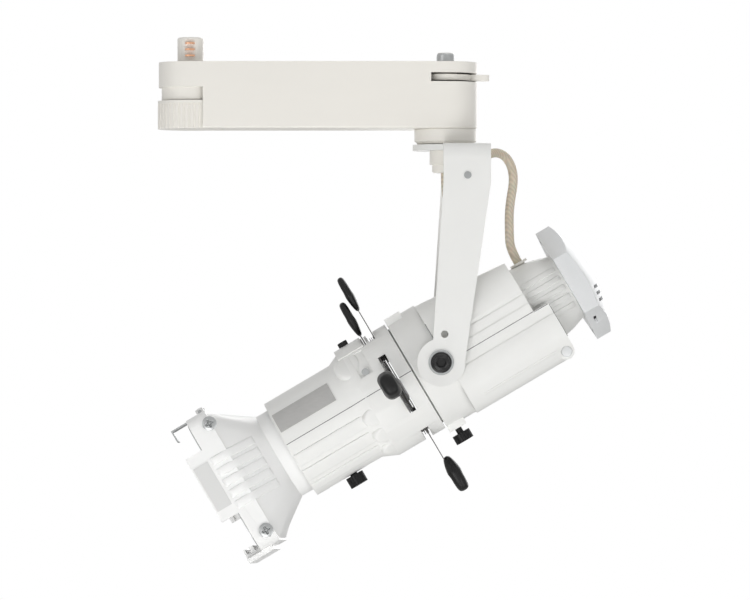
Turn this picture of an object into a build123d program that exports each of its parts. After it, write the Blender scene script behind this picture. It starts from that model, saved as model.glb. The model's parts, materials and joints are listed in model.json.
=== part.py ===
"""Small ellipsoidal spotlight on a track adapter: adapter, yoke, lamp house, shutter barrel and
sliding lens tube. Millimetres, +Z up. The origin is the pan axis where the adapter's top face
meets the underside of the track. The track runs along X and the light points towards -X,
tipped down by REST_TILT."""

import os
from math import cos, pi, radians, sin, tan

from build123d import *

os.makedirs("parts", exist_ok=True)

# fits
RUN = 0.08  # radial clearance of a turning or sliding fit
SLIP = 0.3  # clearance between faces that pass each other
SEAT = 0.1  # clearance where one piece is seated on another

# track adapter
ADAPTER_LENGTH = 165.5
ADAPTER_WIDTH = 33.0
ADAPTER_DEPTH = 34.6
ADAPTER_WALL = 2.0
END_BLOCK_LENGTH = 23.5
END_BLOCK_DEPTH = 13.1
LID = 1.6
LID_RIM = 1.0
PAD_RISE = 0.4
NECK_RADIUS = 15.0
NECK_DEPTH = 19.7
SELECTOR_RADIUS = 17.0
SELECTOR_RIM = 1.7
SELECTOR_RIBS = 40
SHAFT_RADIUS = 5.0
TOWER_RADIUS = 6.8
TOWER_HEIGHT = 13.0
BLADE_REACH = 9.5
LEVER_THICKNESS = 3.2
LEVER_TOP = 6.4
LEVER_REACH = 22.7
LEVER_WIDTH = 8.0
HUB_RADIUS = 6.0
CAM_LENGTH = 25.0
CAM_THICKNESS = 4.0
POST_RADIUS = 3.2
TRANSFORMER = (64.0, 25.0, 20.5)
TERMINAL = (8.0, 18.0, 10.5)

# swivel and yoke
COLLAR_RADIUS = 16.1
COLLAR_DEPTH = 7.9
BUSH_RADIUS = 6.5
BUSH_FLANGE = 8.2
BUSH_NOZZLE = 6.9
BUSH_BORE = 3.6
FLANGE_DEPTH = 7.2
NOZZLE_DEPTH = 4.3
PLATE = 3.0
ARM_GAP = 34.0
LOBE_RADIUS = 17.0
ARM_BACK = 22.7
ARM_FRONT = -1.6
ARM_TAPER_START = 20.0
EYE_RADIUS = 12.3
BEND = 4.0
RIVET_RADIUS = 1.9

# pivot and optical axis
REST_TILT = 30.6
PIVOT_X = -2.8
PIVOT_Z = -155.2
BOSS_RADIUS = 11.0
BOSS_INNER = 28.4
BOLT_RADIUS = 2.5
BOLT_HEAD = 5.4
BOLT_HEAD_DEPTH = 3.4
WASHER = 0.8

# lamp house
HOUSE_WIDTH = 62.0
HOUSE_TOP = 31.2
HOUSE_BOTTOM = 32.5
HOUSE_CORNER = 20.0
HOUSE_WALL = 2.5
HOUSE_BACK = -62.7
COVER_BACK = -54.0
COVER_BACK_HEIGHT = 26.8
SEAM = -1.7
RING_BACK = -2.9
RING_FRONT = 14.3
RING_RADIUS = 32.0
NECK_OUTER = 22.6
NECK_END = 18.3
NECK_WALL = 2.0
CAP_FRONT = -76.4
CAP_BACK = -91.5
CAP_FLATS = 55.0
CAP_WALL = 2.0
PIN_RADIUS = 2.9
PIN_HALF = 23.0
SHELL_CORNER = 4.2
HOUSE_GROOVES = (8.8, 3.6, -7.3)
GROOVE_DEPTH = 0.6
VENT_HEIGHTS = (-14.0, -10.5, -7.0)
VENT_REACH = (13.0, 23.0)
RIM_SLOT = (-26.0, -20.0)
LOCK_KNOB_PLACE = 9.6
GROMMET_PLACE = -61.1

# lamp
LAMP_RADIUS = 25.0
LAMP_FRONT = 1.0
LAMP_BACK = -37.0
SOCKET_RADIUS = 10.0
SOCKET_LENGTH = 11.0

# shutter barrel
BARREL_ROLL = 4.0
SPIGOT_RADIUS = 28.0
SPIGOT_BACK = 2.3
SPIGOT_WALL = 2.4
BARREL_BACK = 15.1
BARREL_RADIUS = 31.2
BARREL_WALL = 2.0
SHOULDER_BACK = 42.6
SHOULDER_FRONT = 51.0
SLEEVE_RADIUS = 27.4
SLEEVE_FRONT = 90.0
BARREL_SEAM = 1.8
GATE_BACK = 22.6
GATE_FRONT = 26.8
GATE_HALF = 16.4
GATE_PLATE = 0.3
APERTURE = 26.0
PATTERN_SLOT = (28.0, 29.6)
FOCUS_SLOT = (54.6, 83.2)
LABEL = (56.2, 89.0)

# shutters and pattern holder
SHUTTER_SHEET = 0.5
SHUTTER_GAP = 0.1
SHUTTER_WIDTH = 31.0
SHUTTER_OPEN = 14.0
TANG_WIDTH = 6.0
HANDLE_ROOT = 44.2
HANDLE_LENGTH = 20.0
HANDLE_WIDTH = 15.0
HANDLE_THICKNESS = 4.2
PATTERN_SHEET = 0.6
PATTERN_WIDTH = 33.0
PATTERN_DEPTH = 19.0
PATTERN_HANDLE_ROOT = 32.4

# lens tube and front holder
TUBE_RADIUS = 23.7
TUBE_WALL = 1.7
TUBE_BACK = 60.0
TUBE_FRONT = 97.2
FOCUS_KNOB_PLACE = 68.4
LENS_THICKNESS = 7.0
LENS_BULGE = 4.0
HORN_FRONT = 117.0
HOLDER_HALF = 38.5
HOLDER_OPENING = 33.0
HOLDER_FRONT = 128.0
LIP_FRONT = 137.8
FRAME_GROOVES = ((128.8, 131.2), (133.4, 135.8))
CLIP_PIN_RADIUS = 1.0
CLIP_SHEET = 0.8
CLIP_HALF = 6.0

# lamp lead
LEAD_DIAMETER = 4.7

# places worked out from the sizes above
ADAPTER_RIGHT = ADAPTER_WIDTH / 2
ADAPTER_LEFT = ADAPTER_RIGHT - ADAPTER_LENGTH
ADAPTER_MIDDLE = (ADAPTER_LEFT + ADAPTER_RIGHT) / 2
SELECTOR_X = ADAPTER_LEFT + ADAPTER_WIDTH / 2
COLLAR_BOTTOM = -ADAPTER_DEPTH - COLLAR_DEPTH
PLATE_TOP = COLLAR_BOTTOM - SLIP
PLATE_BOTTOM = PLATE_TOP - PLATE
ARM_OUTER = ARM_GAP + PLATE
BOSS_FACE = ARM_GAP - SLIP
BUSH_END = PLATE_BOTTOM - FLANGE_DEPTH - NOZZLE_DEPTH
PIVOT = Vector(PIVOT_X, 0, PIVOT_Z)
FORWARD = Vector(-cos(radians(REST_TILT)), 0, -sin(radians(REST_TILT)))
UP = Vector(-sin(radians(REST_TILT)), 0, cos(radians(REST_TILT)))
FAR = Vector(0, 1, 0)
POSTS = [(SELECTOR_X + 25.5, 0), (-21.0, 0)]
RIVET_PLACE = (10.8, -59.4)


class Optics:
    """Planes about the optical axis, with its 'up' rolled about that axis by some degrees."""

    def __init__(self, roll=0.0):
        self.roll = roll
        self.up = UP * cos(radians(roll)) + FAR * sin(radians(roll))
        self.far = FAR * cos(radians(roll)) - UP * sin(radians(roll))
        self.axis = Axis(PIVOT, FORWARD)

    def side(self, offset=0.0):
        """x runs forward, y up, and the normal points to the far side."""
        return Plane(origin=PIVOT + self.far * offset, x_dir=FORWARD, z_dir=self.far)

    def across(self, place):
        """x runs to the near side, y up, and the normal points forward."""
        return Plane(origin=PIVOT + FORWARD * place, x_dir=self.far * -1, z_dir=FORWARD)

    def above(self, height, place=0.0):
        """x runs forward, y to the near side, and the normal points up."""
        origin = PIVOT + self.up * height + FORWARD * place
        return Plane(origin=origin, x_dir=FORWARD, z_dir=self.up)


HEAD = Optics()
BARREL = Optics(BARREL_ROLL)


def turned(optics, outline):
    """Solid of revolution about the optical axis, from (place, radius) corners."""
    with BuildPart() as shape:
        with BuildSketch(optics.side()):
            with BuildLine():
                Polyline(*outline, close=True)
            make_face()
        revolve(axis=optics.axis)
    return shape.part


def tube(optics, back, front, outer, inner):
    return turned(optics, [(back, inner), (front, inner), (front, outer), (back, outer)])


def sector(optics, places, radii, angles):
    """Part of a tube, between two angles from the near side towards the top."""
    start = Optics(optics.roll - 90 + angles[0])
    with BuildPart() as shape:
        with BuildSketch(start.side()):
            with Locations((sum(places) / 2, sum(radii) / 2)):
                Rectangle(places[1] - places[0], radii[1] - radii[0])
        revolve(axis=start.axis, revolution_arc=angles[1] - angles[0])
    return shape.part


def slab(optics, places, heights, sides):
    """Block between two places along the axis, two heights and two sides (far is positive)."""
    with BuildPart() as shape:
        with BuildSketch(optics.side(sides[0])):
            with Locations((sum(places) / 2, sum(heights) / 2)):
                Rectangle(places[1] - places[0], heights[1] - heights[0])
        extrude(amount=sides[1] - sides[0])
    return shape.part


def peg(plane, radius, length, bore=0.0):
    """Round peg on a plane, along its normal."""
    with BuildPart() as shape:
        with BuildSketch(plane):
            Circle(radius)
            if bore:
                Circle(bore, mode=Mode.SUBTRACT)
        extrude(amount=length)
    return shape.part


def level(height):
    return Plane.XY.offset(height)


def fluted(plane, radius, length, flutes, depth):
    """Round knob with flutes along its edge."""
    with BuildPart() as shape:
        with BuildSketch(plane):
            Circle(radius)
            with PolarLocations(radius, flutes):
                Circle(depth, mode=Mode.SUBTRACT)
        extrude(amount=length)
    return shape.part


def write(part, label):
    part.label = label
    export_step(part, "parts/" + label + ".step")


# ---------------------------------------------------------------- track adapter
with BuildPart() as adapter_housing:
    with BuildSketch(level(0)):
        with Locations((ADAPTER_MIDDLE, 0)):
            SlotOverall(ADAPTER_LENGTH, ADAPTER_WIDTH)
    extrude(amount=-ADAPTER_DEPTH)
    fillet(adapter_housing.faces().sort_by(Axis.Z)[0].edges(), radius=1.2)
    # the end block is shallow, with a neck that the selector wheel turns under
    with BuildSketch(level(-ADAPTER_DEPTH)):
        with Locations((ADAPTER_LEFT + END_BLOCK_LENGTH / 2, 0)):
            Rectangle(END_BLOCK_LENGTH, ADAPTER_WIDTH)
        with Locations((SELECTOR_X, 0)):
            Circle(SELECTOR_RADIUS + 2 * SLIP)
    extrude(amount=ADAPTER_DEPTH - END_BLOCK_DEPTH, mode=Mode.SUBTRACT)
    with BuildSketch(level(-END_BLOCK_DEPTH)):
        with Locations((SELECTOR_X, 0)):
            Circle(NECK_RADIUS)
    extrude(amount=END_BLOCK_DEPTH - NECK_DEPTH)
    # rebate for the lid, the hollow, the lid posts and the bores
    with BuildSketch(level(-LID)):
        with Locations((ADAPTER_MIDDLE, 0)):
            SlotOverall(ADAPTER_LENGTH - 2 * LID_RIM, ADAPTER_WIDTH - 2 * LID_RIM)
    extrude(amount=LID, mode=Mode.SUBTRACT)
    with BuildSketch(level(-ADAPTER_DEPTH + ADAPTER_WALL)):
        hollow_left = SELECTOR_X + SELECTOR_RADIUS + 2 * SLIP + ADAPTER_WALL
        with Locations((hollow_left / 2, 0)):
            Rectangle(-hollow_left, ADAPTER_WIDTH - 2 * ADAPTER_WALL)
        Circle(ADAPTER_WIDTH / 2 - ADAPTER_WALL)
        with Locations(*POSTS):
            Circle(POST_RADIUS, mode=Mode.SUBTRACT)
    extrude(amount=ADAPTER_DEPTH, mode=Mode.SUBTRACT)
    with BuildSketch(level(-NECK_DEPTH)):
        with Locations((SELECTOR_X, 0)):
            Circle(SHAFT_RADIUS + RUN)
    extrude(amount=NECK_DEPTH, mode=Mode.SUBTRACT)
    with BuildSketch(level(-ADAPTER_DEPTH)):
        Circle(BUSH_RADIUS + RUN)
    extrude(amount=ADAPTER_WALL, mode=Mode.SUBTRACT)
    # the slot in which the lock lever swings from the end to the front
    with BuildSketch(level(-LEVER_TOP - LEVER_THICKNESS - 0.7)):
        slot_near = -ADAPTER_WIDTH / 2 - 1
        slot_far = LEVER_WIDTH / 2 + 0.5
        slot_left = -LEVER_WIDTH / 2 - 3.6
        with Locations(((slot_left + ADAPTER_WIDTH) / 2, (slot_near + slot_far) / 2)):
            Rectangle(ADAPTER_WIDTH - slot_left, slot_far - slot_near)
    extrude(amount=LEVER_THICKNESS + 1.4, mode=Mode.SUBTRACT)
    with BuildSketch(level(-LID)):
        with Locations(*POSTS):
            Circle(1.4)
    extrude(amount=-8, mode=Mode.SUBTRACT)
write(adapter_housing.part, "adapter_housing")

with BuildPart() as adapter_lid:
    with BuildSketch(level(-LID)):
        with Locations((ADAPTER_MIDDLE, 0)):
            SlotOverall(ADAPTER_LENGTH - 2 * LID_RIM - 0.2, ADAPTER_WIDTH - 2 * LID_RIM - 0.2)
        with Locations((SELECTOR_X, 0)):
            Circle(TOWER_RADIUS + SLIP, mode=Mode.SUBTRACT)
        Circle(HUB_RADIUS + RUN, mode=Mode.SUBTRACT)
        with Locations(*POSTS):
            Circle(1.5, mode=Mode.SUBTRACT)
    extrude(amount=LID - PAD_RISE)
    # the pad between the contact tower and the lock cam bears on the track
    with BuildSketch(level(-PAD_RISE)):
        with Locations(((POSTS[0][0] + POSTS[1][0]) / 2, 0)):
            RectangleRounded(POSTS[1][0] - POSTS[0][0] - 8, ADAPTER_WIDTH - 2 * LID_RIM - 2, 2)
    extrude(amount=PAD_RISE)
    with BuildSketch(level(0)):
        with Locations(*POSTS):
            Circle(2.8)
    extrude(amount=-1.1, mode=Mode.SUBTRACT)
write(adapter_lid.part, "adapter_lid")

with BuildPart() as adapter_screws:
    with BuildSketch(level(-1.1)):
        with Locations(*POSTS):
            Circle(2.7)
    extrude(amount=0.6)
    with BuildSketch(level(-1.1)):
        with Locations(*POSTS):
            Circle(1.4)
    extrude(amount=-7)
write(adapter_screws.part, "adapter_screws")

with BuildPart() as transformer:
    with BuildSketch(level(-ADAPTER_DEPTH + ADAPTER_WALL + SEAT)):
        with Locations((ADAPTER_MIDDLE, 0)):
            Rectangle(TRANSFORMER[0], TRANSFORMER[1])
    extrude(amount=TRANSFORMER[2])
    fillet(transformer.edges().filter_by(Axis.Z), radius=2)
write(transformer.part, "transformer")

with BuildPart() as terminal_block:
    with BuildSketch(level(-ADAPTER_DEPTH + ADAPTER_WALL + SEAT)):
        with Locations((ADAPTER_MIDDLE + TRANSFORMER[0] / 2 + TERMINAL[0] / 2 + 1, 0)):
            Rectangle(TERMINAL[0], TERMINAL[1])
    extrude(amount=TERMINAL[2])
    with BuildSketch(terminal_block.faces().sort_by(Axis.Z)[-1]):
        with GridLocations(0, TERMINAL[1] / 3, 1, 3):
            Circle(1.8)
    extrude(amount=-5, mode=Mode.SUBTRACT)
write(terminal_block.part, "terminal_block")

with BuildPart() as selector_wheel:
    wheel_top = -NECK_DEPTH - SLIP
    with BuildSketch(level(wheel_top)):
        with Locations((SELECTOR_X, 0)):
            Circle(SELECTOR_RADIUS)
    extrude(amount=-SELECTOR_RIM)
    with BuildSketch(level(wheel_top - SELECTOR_RIM)):
        with Locations((SELECTOR_X, 0)):
            Circle(SELECTOR_RADIUS)
            with PolarLocations(SELECTOR_RADIUS, SELECTOR_RIBS):
                Circle(0.7, mode=Mode.SUBTRACT)
    extrude(amount=-(ADAPTER_DEPTH + wheel_top - SELECTOR_RIM))
    with BuildSketch(level(wheel_top)):
        with Locations((SELECTOR_X, 0)):
            Circle(SHAFT_RADIUS)
    extrude(amount=-wheel_top - LID)
    with BuildSketch(level(-LID)):
        with Locations((SELECTOR_X, 0)):
            Circle(SHAFT_RADIUS - 1)
    extrude(amount=LID + TOWER_HEIGHT / 2)
write(selector_wheel.part, "selector_wheel")

BLADE_LEVELS = [3.0, 6.2, 9.4]
with BuildPart() as contact_blades:
    for height in BLADE_LEVELS:
        with BuildSketch(level(height)):
            with Locations((SELECTOR_X, 0)):
                SlotOverall(2 * BLADE_REACH, 5.0, rotation=90)
                Circle(SHAFT_RADIUS - 1, mode=Mode.SUBTRACT)
        extrude(amount=0.8)
write(contact_blades.part, "contact_blades")

with BuildPart() as contact_tower:
    with BuildSketch(level(-LID + SEAT)):
        with Locations((SELECTOR_X, 0)):
            Circle(TOWER_RADIUS)
    extrude(amount=LID + TOWER_HEIGHT)
    fillet(contact_tower.faces().sort_by(Axis.Z)[-1].edges(), radius=1.2)
    with BuildSketch(level(-LID)):
        with Locations((SELECTOR_X, 0)):
            Circle(SHAFT_RADIUS - 1)
    extrude(amount=LID + TOWER_HEIGHT / 2, mode=Mode.SUBTRACT)
    add(contact_blades.part, mode=Mode.SUBTRACT)
write(contact_tower.part, "contact_tower")

with BuildPart() as lock_lever:
    with BuildSketch(level(-LEVER_TOP - LEVER_THICKNESS)):
        Circle(ADAPTER_WIDTH / 2 - ADAPTER_WALL - 1)
        with Locations((LEVER_REACH / 2, 0)):
            Rectangle(LEVER_REACH, LEVER_WIDTH)
    extrude(amount=LEVER_THICKNESS)
    fillet(lock_lever.edges().filter_by(Axis.Z).sort_by(Axis.X)[-2:], radius=2)
    with BuildSketch(level(-LEVER_TOP)):
        Circle(HUB_RADIUS)
    extrude(amount=LEVER_TOP)
    with BuildSketch(level(0)):
        Circle(HUB_RADIUS - 2)
    extrude(amount=SLIP + CAM_THICKNESS + 0.8)
write(lock_lever.part, "lock_lever")

with BuildPart() as lock_cam:
    with BuildSketch(level(SLIP)):
        SlotOverall(CAM_LENGTH, 9.0, rotation=90)
        Circle(HUB_RADIUS - 2, mode=Mode.SUBTRACT)
    extrude(amount=CAM_THICKNESS)
    fillet(lock_cam.faces().sort_by(Axis.Z)[-1].outer_wire().edges(), radius=0.8)
write(lock_cam.part, "lock_cam")

with BuildPart() as swivel_collar:
    with BuildSketch(level(-ADAPTER_DEPTH)):
        Circle(COLLAR_RADIUS)
    extrude(amount=-COLLAR_DEPTH + 1.2)
    with BuildSketch(level(COLLAR_BOTTOM + 1.2)):
        Circle(COLLAR_RADIUS - 1.2)
    extrude(amount=-1.2)
    with BuildSketch(level(COLLAR_BOTTOM)):
        Circle(BUSH_RADIUS + RUN)
    extrude(amount=COLLAR_DEPTH, mode=Mode.SUBTRACT)
write(swivel_collar.part, "swivel_collar")

# ---------------------------------------------------------------- swivel bush and yoke
NUT_BOTTOM = -ADAPTER_DEPTH + ADAPTER_WALL + SEAT
with BuildPart() as swivel_bush:
    with BuildSketch(level(PLATE_BOTTOM)):
        Circle(BUSH_RADIUS)
    extrude(amount=NUT_BOTTOM + 6 - PLATE_BOTTOM)
    with BuildSketch(level(PLATE_BOTTOM)):
        Circle(BUSH_FLANGE)
    extrude(amount=-FLANGE_DEPTH)
    with BuildSketch(level(PLATE_BOTTOM - FLANGE_DEPTH)):
        Circle(BUSH_NOZZLE)
    extrude(amount=-NOZZLE_DEPTH)
    chamfer(swivel_bush.faces().sort_by(Axis.Z)[0].edges(), length=0.8)
    with BuildSketch(level(BUSH_END)):
        Circle(BUSH_BORE)
    extrude(amount=NUT_BOTTOM + 6 - BUSH_END, mode=Mode.SUBTRACT)
write(swivel_bush.part, "swivel_bush")

with BuildPart() as swivel_nut:
    with BuildSketch(level(NUT_BOTTOM)):
        Circle(9.6)
        Circle(BUSH_RADIUS, mode=Mode.SUBTRACT)
    extrude(amount=1)
    with BuildSketch(level(NUT_BOTTOM + 1)):
        RegularPolygon(9.0, 6, major_radius=False)
        Circle(BUSH_RADIUS, mode=Mode.SUBTRACT)
    extrude(amount=4)
write(swivel_nut.part, "swivel_nut")

with BuildPart() as yoke:
    taper_top = PLATE_TOP - ARM_TAPER_START
    strip = 2 * ARM_TAPER_START + 4 * BEND
    # the bent strip: top plate and the upper end of each arm
    with BuildSketch(Plane(origin=(ARM_FRONT, 0, 0), x_dir=(0, 1, 0), z_dir=(1, 0, 0))):
        with Locations((0, PLATE_TOP - strip / 2)):
            RectangleRounded(2 * ARM_OUTER, strip, BEND + PLATE)
        with Locations((0, PLATE_BOTTOM - strip / 2)):
            RectangleRounded(2 * ARM_GAP, strip, BEND, mode=Mode.SUBTRACT)
        with Locations((0, taper_top - strip)):
            Rectangle(3 * ARM_OUTER, 2 * strip, mode=Mode.SUBTRACT)
    extrude(amount=ARM_BACK - ARM_FRONT)
    # the plate is waisted between the arms and has a round lobe about the pan axis
    with BuildSketch(level(PLATE_BOTTOM)):
        with Locations((ARM_BACK, 0)):
            RectangleRounded(2 * (ARM_BACK - LOBE_RADIUS), 2 * LOBE_RADIUS, 5)
    extrude(amount=PLATE, mode=Mode.SUBTRACT)
    with BuildSketch(level(PLATE_BOTTOM)):
        Circle(LOBE_RADIUS)
    extrude(amount=PLATE)
    with BuildSketch(level(PLATE_BOTTOM)):
        Circle(BUSH_RADIUS)
    extrude(amount=PLATE, mode=Mode.SUBTRACT)
    # the arms taper to an eye round the pivot
    for side in (-1, 1):
        with BuildSketch(Plane(origin=(0, side * ARM_GAP, 0), x_dir=(1, 0, 0), z_dir=(0, -1, 0))):
            with BuildLine():
                Polyline(
                    (ARM_FRONT, taper_top),
                    (ARM_BACK, taper_top),
                    (PIVOT_X + EYE_RADIUS, PIVOT_Z + 1),
                    (PIVOT_X, PIVOT_Z),
                    (PIVOT_X - EYE_RADIUS / 3, PIVOT_Z + 0.93 * EYE_RADIUS),
                    close=True,
                )
            make_face()
            with Locations((PIVOT_X, PIVOT_Z)):
                Circle(EYE_RADIUS)
                Circle(BOLT_RADIUS + RUN, mode=Mode.SUBTRACT)
            with Locations((PIVOT_X + 1.8, PIVOT_Z + 14.5), RIVET_PLACE):
                Circle(RIVET_RADIUS, mode=Mode.SUBTRACT)
        extrude(amount=-side * PLATE)
    with BuildSketch(Plane(origin=(0, -ARM_OUTER - 1, 0), x_dir=(1, 0, 0), z_dir=(0, -1, 0))):
        with Locations(RIVET_PLACE):
            Circle(RIVET_RADIUS)
    extrude(amount=-2 * ARM_OUTER - 2, mode=Mode.SUBTRACT)
write(yoke.part, "yoke")

with BuildPart() as yoke_rivets:
    for side in (-1, 1):
        with BuildSketch(Plane(origin=(0, side * ARM_GAP, 0), x_dir=(1, 0, 0), z_dir=(0, -1, 0))):
            with Locations(RIVET_PLACE):
                Circle(RIVET_RADIUS)
        extrude(amount=-side * (PLATE + 0.4))
write(yoke_rivets.part, "yoke_rivets")


def outward(side, distance):
    """Plane across the tilt axis, facing away from the optical axis."""
    return Plane(origin=(PIVOT_X, side * distance, PIVOT_Z), x_dir=(1, 0, 0), z_dir=(0, side, 0))


with BuildPart() as tilt_bolts:
    head_face = ARM_OUTER + WASHER + 2 * SEAT
    for side in (-1, 1):
        with BuildSketch(outward(side, BOSS_INNER + SLIP)):
            Circle(BOLT_RADIUS)
        extrude(amount=head_face - BOSS_INNER - SLIP)
        with BuildSketch(outward(side, head_face)):
            Circle(BOLT_HEAD)
        extrude(amount=0.6 * BOLT_HEAD_DEPTH)
        with BuildSketch(outward(side, head_face + 0.6 * BOLT_HEAD_DEPTH)):
            Circle(BOLT_HEAD - 1.1)
        extrude(amount=0.4 * BOLT_HEAD_DEPTH)
        with BuildSketch(outward(side, head_face + BOLT_HEAD_DEPTH)):
            RegularPolygon(2.6, 6)
        extrude(amount=-2, mode=Mode.SUBTRACT)
write(tilt_bolts.part, "tilt_bolts")

with BuildPart() as tilt_washers:
    for side in (-1, 1):
        with BuildSketch(outward(side, ARM_OUTER + SEAT)):
            Circle(BOLT_HEAD + 1.1)
            Circle(BOLT_RADIUS, mode=Mode.SUBTRACT)
        extrude(amount=WASHER)
write(tilt_washers.part, "tilt_washers")

# ---------------------------------------------------------------- lamp house


def house_block(back, inset):
    """The lamp house's outline, drawn in by inset, with its top falling to the back."""
    height = HOUSE_TOP + HOUSE_BOTTOM - 2 * inset
    with BuildPart() as shape:
        with BuildSketch(HEAD.across(back)):
            with Locations((0, (HOUSE_TOP - HOUSE_BOTTOM) / 2)):
                RectangleRounded(HOUSE_WIDTH - 2 * inset, height, HOUSE_CORNER - inset)
        extrude(amount=RING_BACK - back)
        with BuildSketch(HEAD.side()):
            with BuildLine():
                Polyline(
                    (RING_BACK, HOUSE_TOP - inset),
                    (COVER_BACK - 20, COVER_BACK_HEIGHT - 1.5 - inset),
                    (COVER_BACK - 20, 2 * HOUSE_TOP),
                    (RING_BACK, 2 * HOUSE_TOP),
                    close=True,
                )
            make_face()
        extrude(amount=HOUSE_WIDTH, both=True, mode=Mode.SUBTRACT)
    return shape.part


def side_grooves(back):
    """Cuts for the three grooves along each side of the lamp house."""
    half = HOUSE_WIDTH / 2
    with BuildPart() as shape:
        for height in HOUSE_GROOVES:
            for side in (-half - 1, half - GROOVE_DEPTH):
                sides = (side, side + 1 + GROOVE_DEPTH)
                add(slab(HEAD, (back, RING_BACK), (height - 0.4, height + 0.4), sides))
    return shape.part


with BuildPart() as front_ring:
    bore = SPIGOT_RADIUS + RUN
    outline = [
        (RING_BACK, LAMP_RADIUS + 0.2),
        (RING_BACK + 2, LAMP_RADIUS + 0.2),
        (RING_BACK + 2, bore),
        (RING_FRONT, bore),
        (RING_FRONT, RING_RADIUS),
        (RING_BACK, RING_RADIUS),
    ]
    add(turned(HEAD, outline))
    add(slab(HEAD, (5.2, RING_FRONT), (bore + 1, RING_RADIUS + 1.3), (-12, 12)))
    add(slab(HEAD, (4.5, RING_FRONT), (-RING_RADIUS - 2.3, -bore - 1), (-9, 9)))
    for side in (-1, 1):
        sides = (side * BOSS_INNER, side * (HOUSE_WIDTH / 2 + 0.2))
        add(slab(HEAD, (RING_BACK, BOSS_RADIUS - 1), (-8, 8), (min(sides), max(sides))))
        with BuildSketch(outward(side, HOUSE_WIDTH / 2 + 0.2)):
            Circle(BOSS_RADIUS)
        extrude(amount=BOSS_FACE - HOUSE_WIDTH / 2 - 0.2)
        with BuildSketch(outward(side, BOSS_INNER - 1)):
            Circle(BOLT_RADIUS)
        extrude(amount=8, mode=Mode.SUBTRACT)
    add(peg(Optics(180).above(SPIGOT_RADIUS - 1, LOCK_KNOB_PLACE), 1.8 + RUN, 9), mode=Mode.SUBTRACT)
write(front_ring.part, "front_ring")

hole_length = COVER_BACK + HOUSE_WALL - HOUSE_BACK + 2
neck_hole = peg(HEAD.across(HOUSE_BACK - 1), NECK_OUTER + SEAT, hole_length)
BESIDE = (-HOUSE_WIDTH, HOUSE_WIDTH)
with BuildPart() as upper_cover:
    add(house_block(COVER_BACK, 0))
    add(house_block(COVER_BACK + HOUSE_WALL, HOUSE_WALL), mode=Mode.SUBTRACT)
    add(slab(HEAD, (HOUSE_BACK, 0), (-HOUSE_WIDTH, SEAM + SEAT), BESIDE), mode=Mode.SUBTRACT)
    add(neck_hole, mode=Mode.SUBTRACT)
    add(side_grooves(COVER_BACK), mode=Mode.SUBTRACT)
write(upper_cover.part, "upper_cover")

with BuildPart() as lower_shell:
    pin_place = HOUSE_BACK + SHELL_CORNER
    pin_height = -HOUSE_BOTTOM + SHELL_CORNER
    add(house_block(HOUSE_BACK, 0))
    add(house_block(HOUSE_BACK + HOUSE_WALL, HOUSE_WALL), mode=Mode.SUBTRACT)
    add(slab(HEAD, (HOUSE_BACK - 1, 0), (SEAM, HOUSE_WIDTH), BESIDE), mode=Mode.SUBTRACT)
    add(neck_hole, mode=Mode.SUBTRACT)
    add(side_grooves(HOUSE_BACK), mode=Mode.SUBTRACT)
    # rounded bottom corner at the back, about the cross pin
    with BuildSketch(HEAD.side(-PIN_HALF + 2)):
        with Locations((pin_place, pin_height)):
            Circle(SHELL_CORNER)
    extrude(amount=2 * PIN_HALF - 4)
    with BuildSketch(HEAD.side()):
        with Locations((pin_place - SHELL_CORNER / 2, pin_height - SHELL_CORNER / 2)):
            Rectangle(SHELL_CORNER, SHELL_CORNER)
        with Locations((pin_place, pin_height)):
            Circle(SHELL_CORNER, mode=Mode.SUBTRACT)
    extrude(amount=HOUSE_WIDTH, both=True, mode=Mode.SUBTRACT)
    with BuildSketch(HEAD.side()):
        with Locations((pin_place, pin_height)):
            Circle(PIN_RADIUS)
    extrude(amount=HOUSE_WIDTH, both=True, mode=Mode.SUBTRACT)
write(lower_shell.part, "lower_shell")

with BuildPart() as cross_pin:
    with BuildSketch(HEAD.side()):
        with Locations((pin_place, pin_height)):
            Circle(PIN_RADIUS)
    extrude(amount=PIN_HALF, both=True)
    chamfer(cross_pin.edges().filter_by(GeomType.CIRCLE), length=0.4)
write(cross_pin.part, "cross_pin")

with BuildPart() as rear_neck:
    outer = [
        (COVER_BACK + 4, NECK_OUTER),
        (COVER_BACK - 6, NECK_OUTER - 0.3),
        (COVER_BACK - 14, NECK_OUTER - 1.8),
        (CAP_FRONT + 1, NECK_END),
        (CAP_FRONT - 3, NECK_END),
    ]
    inner = [(place, radius - NECK_WALL) for place, radius in reversed(outer)]
    add(turned(HEAD, outer + inner))
    flange_back = COVER_BACK + HOUSE_WALL + SEAT
    add(tube(HEAD, flange_back, COVER_BACK + 4, NECK_OUTER + 1.2, NECK_OUTER - NECK_WALL))
    add(peg(HEAD.above(10, GROMMET_PLACE), 3.0, 20), mode=Mode.SUBTRACT)
write(rear_neck.part, "rear_neck")

GROMMET_SEAT = NECK_OUTER - 0.2
GROMMET_TOP = GROMMET_SEAT + 1.2
with BuildPart() as cable_grommet:
    add(peg(HEAD.above(GROMMET_SEAT - 3.4, GROMMET_PLACE), 3.0, 3.4))
    add(peg(HEAD.above(GROMMET_SEAT, GROMMET_PLACE), 4.8, GROMMET_TOP - GROMMET_SEAT))
write(cable_grommet.part, "cable_grommet")


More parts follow.
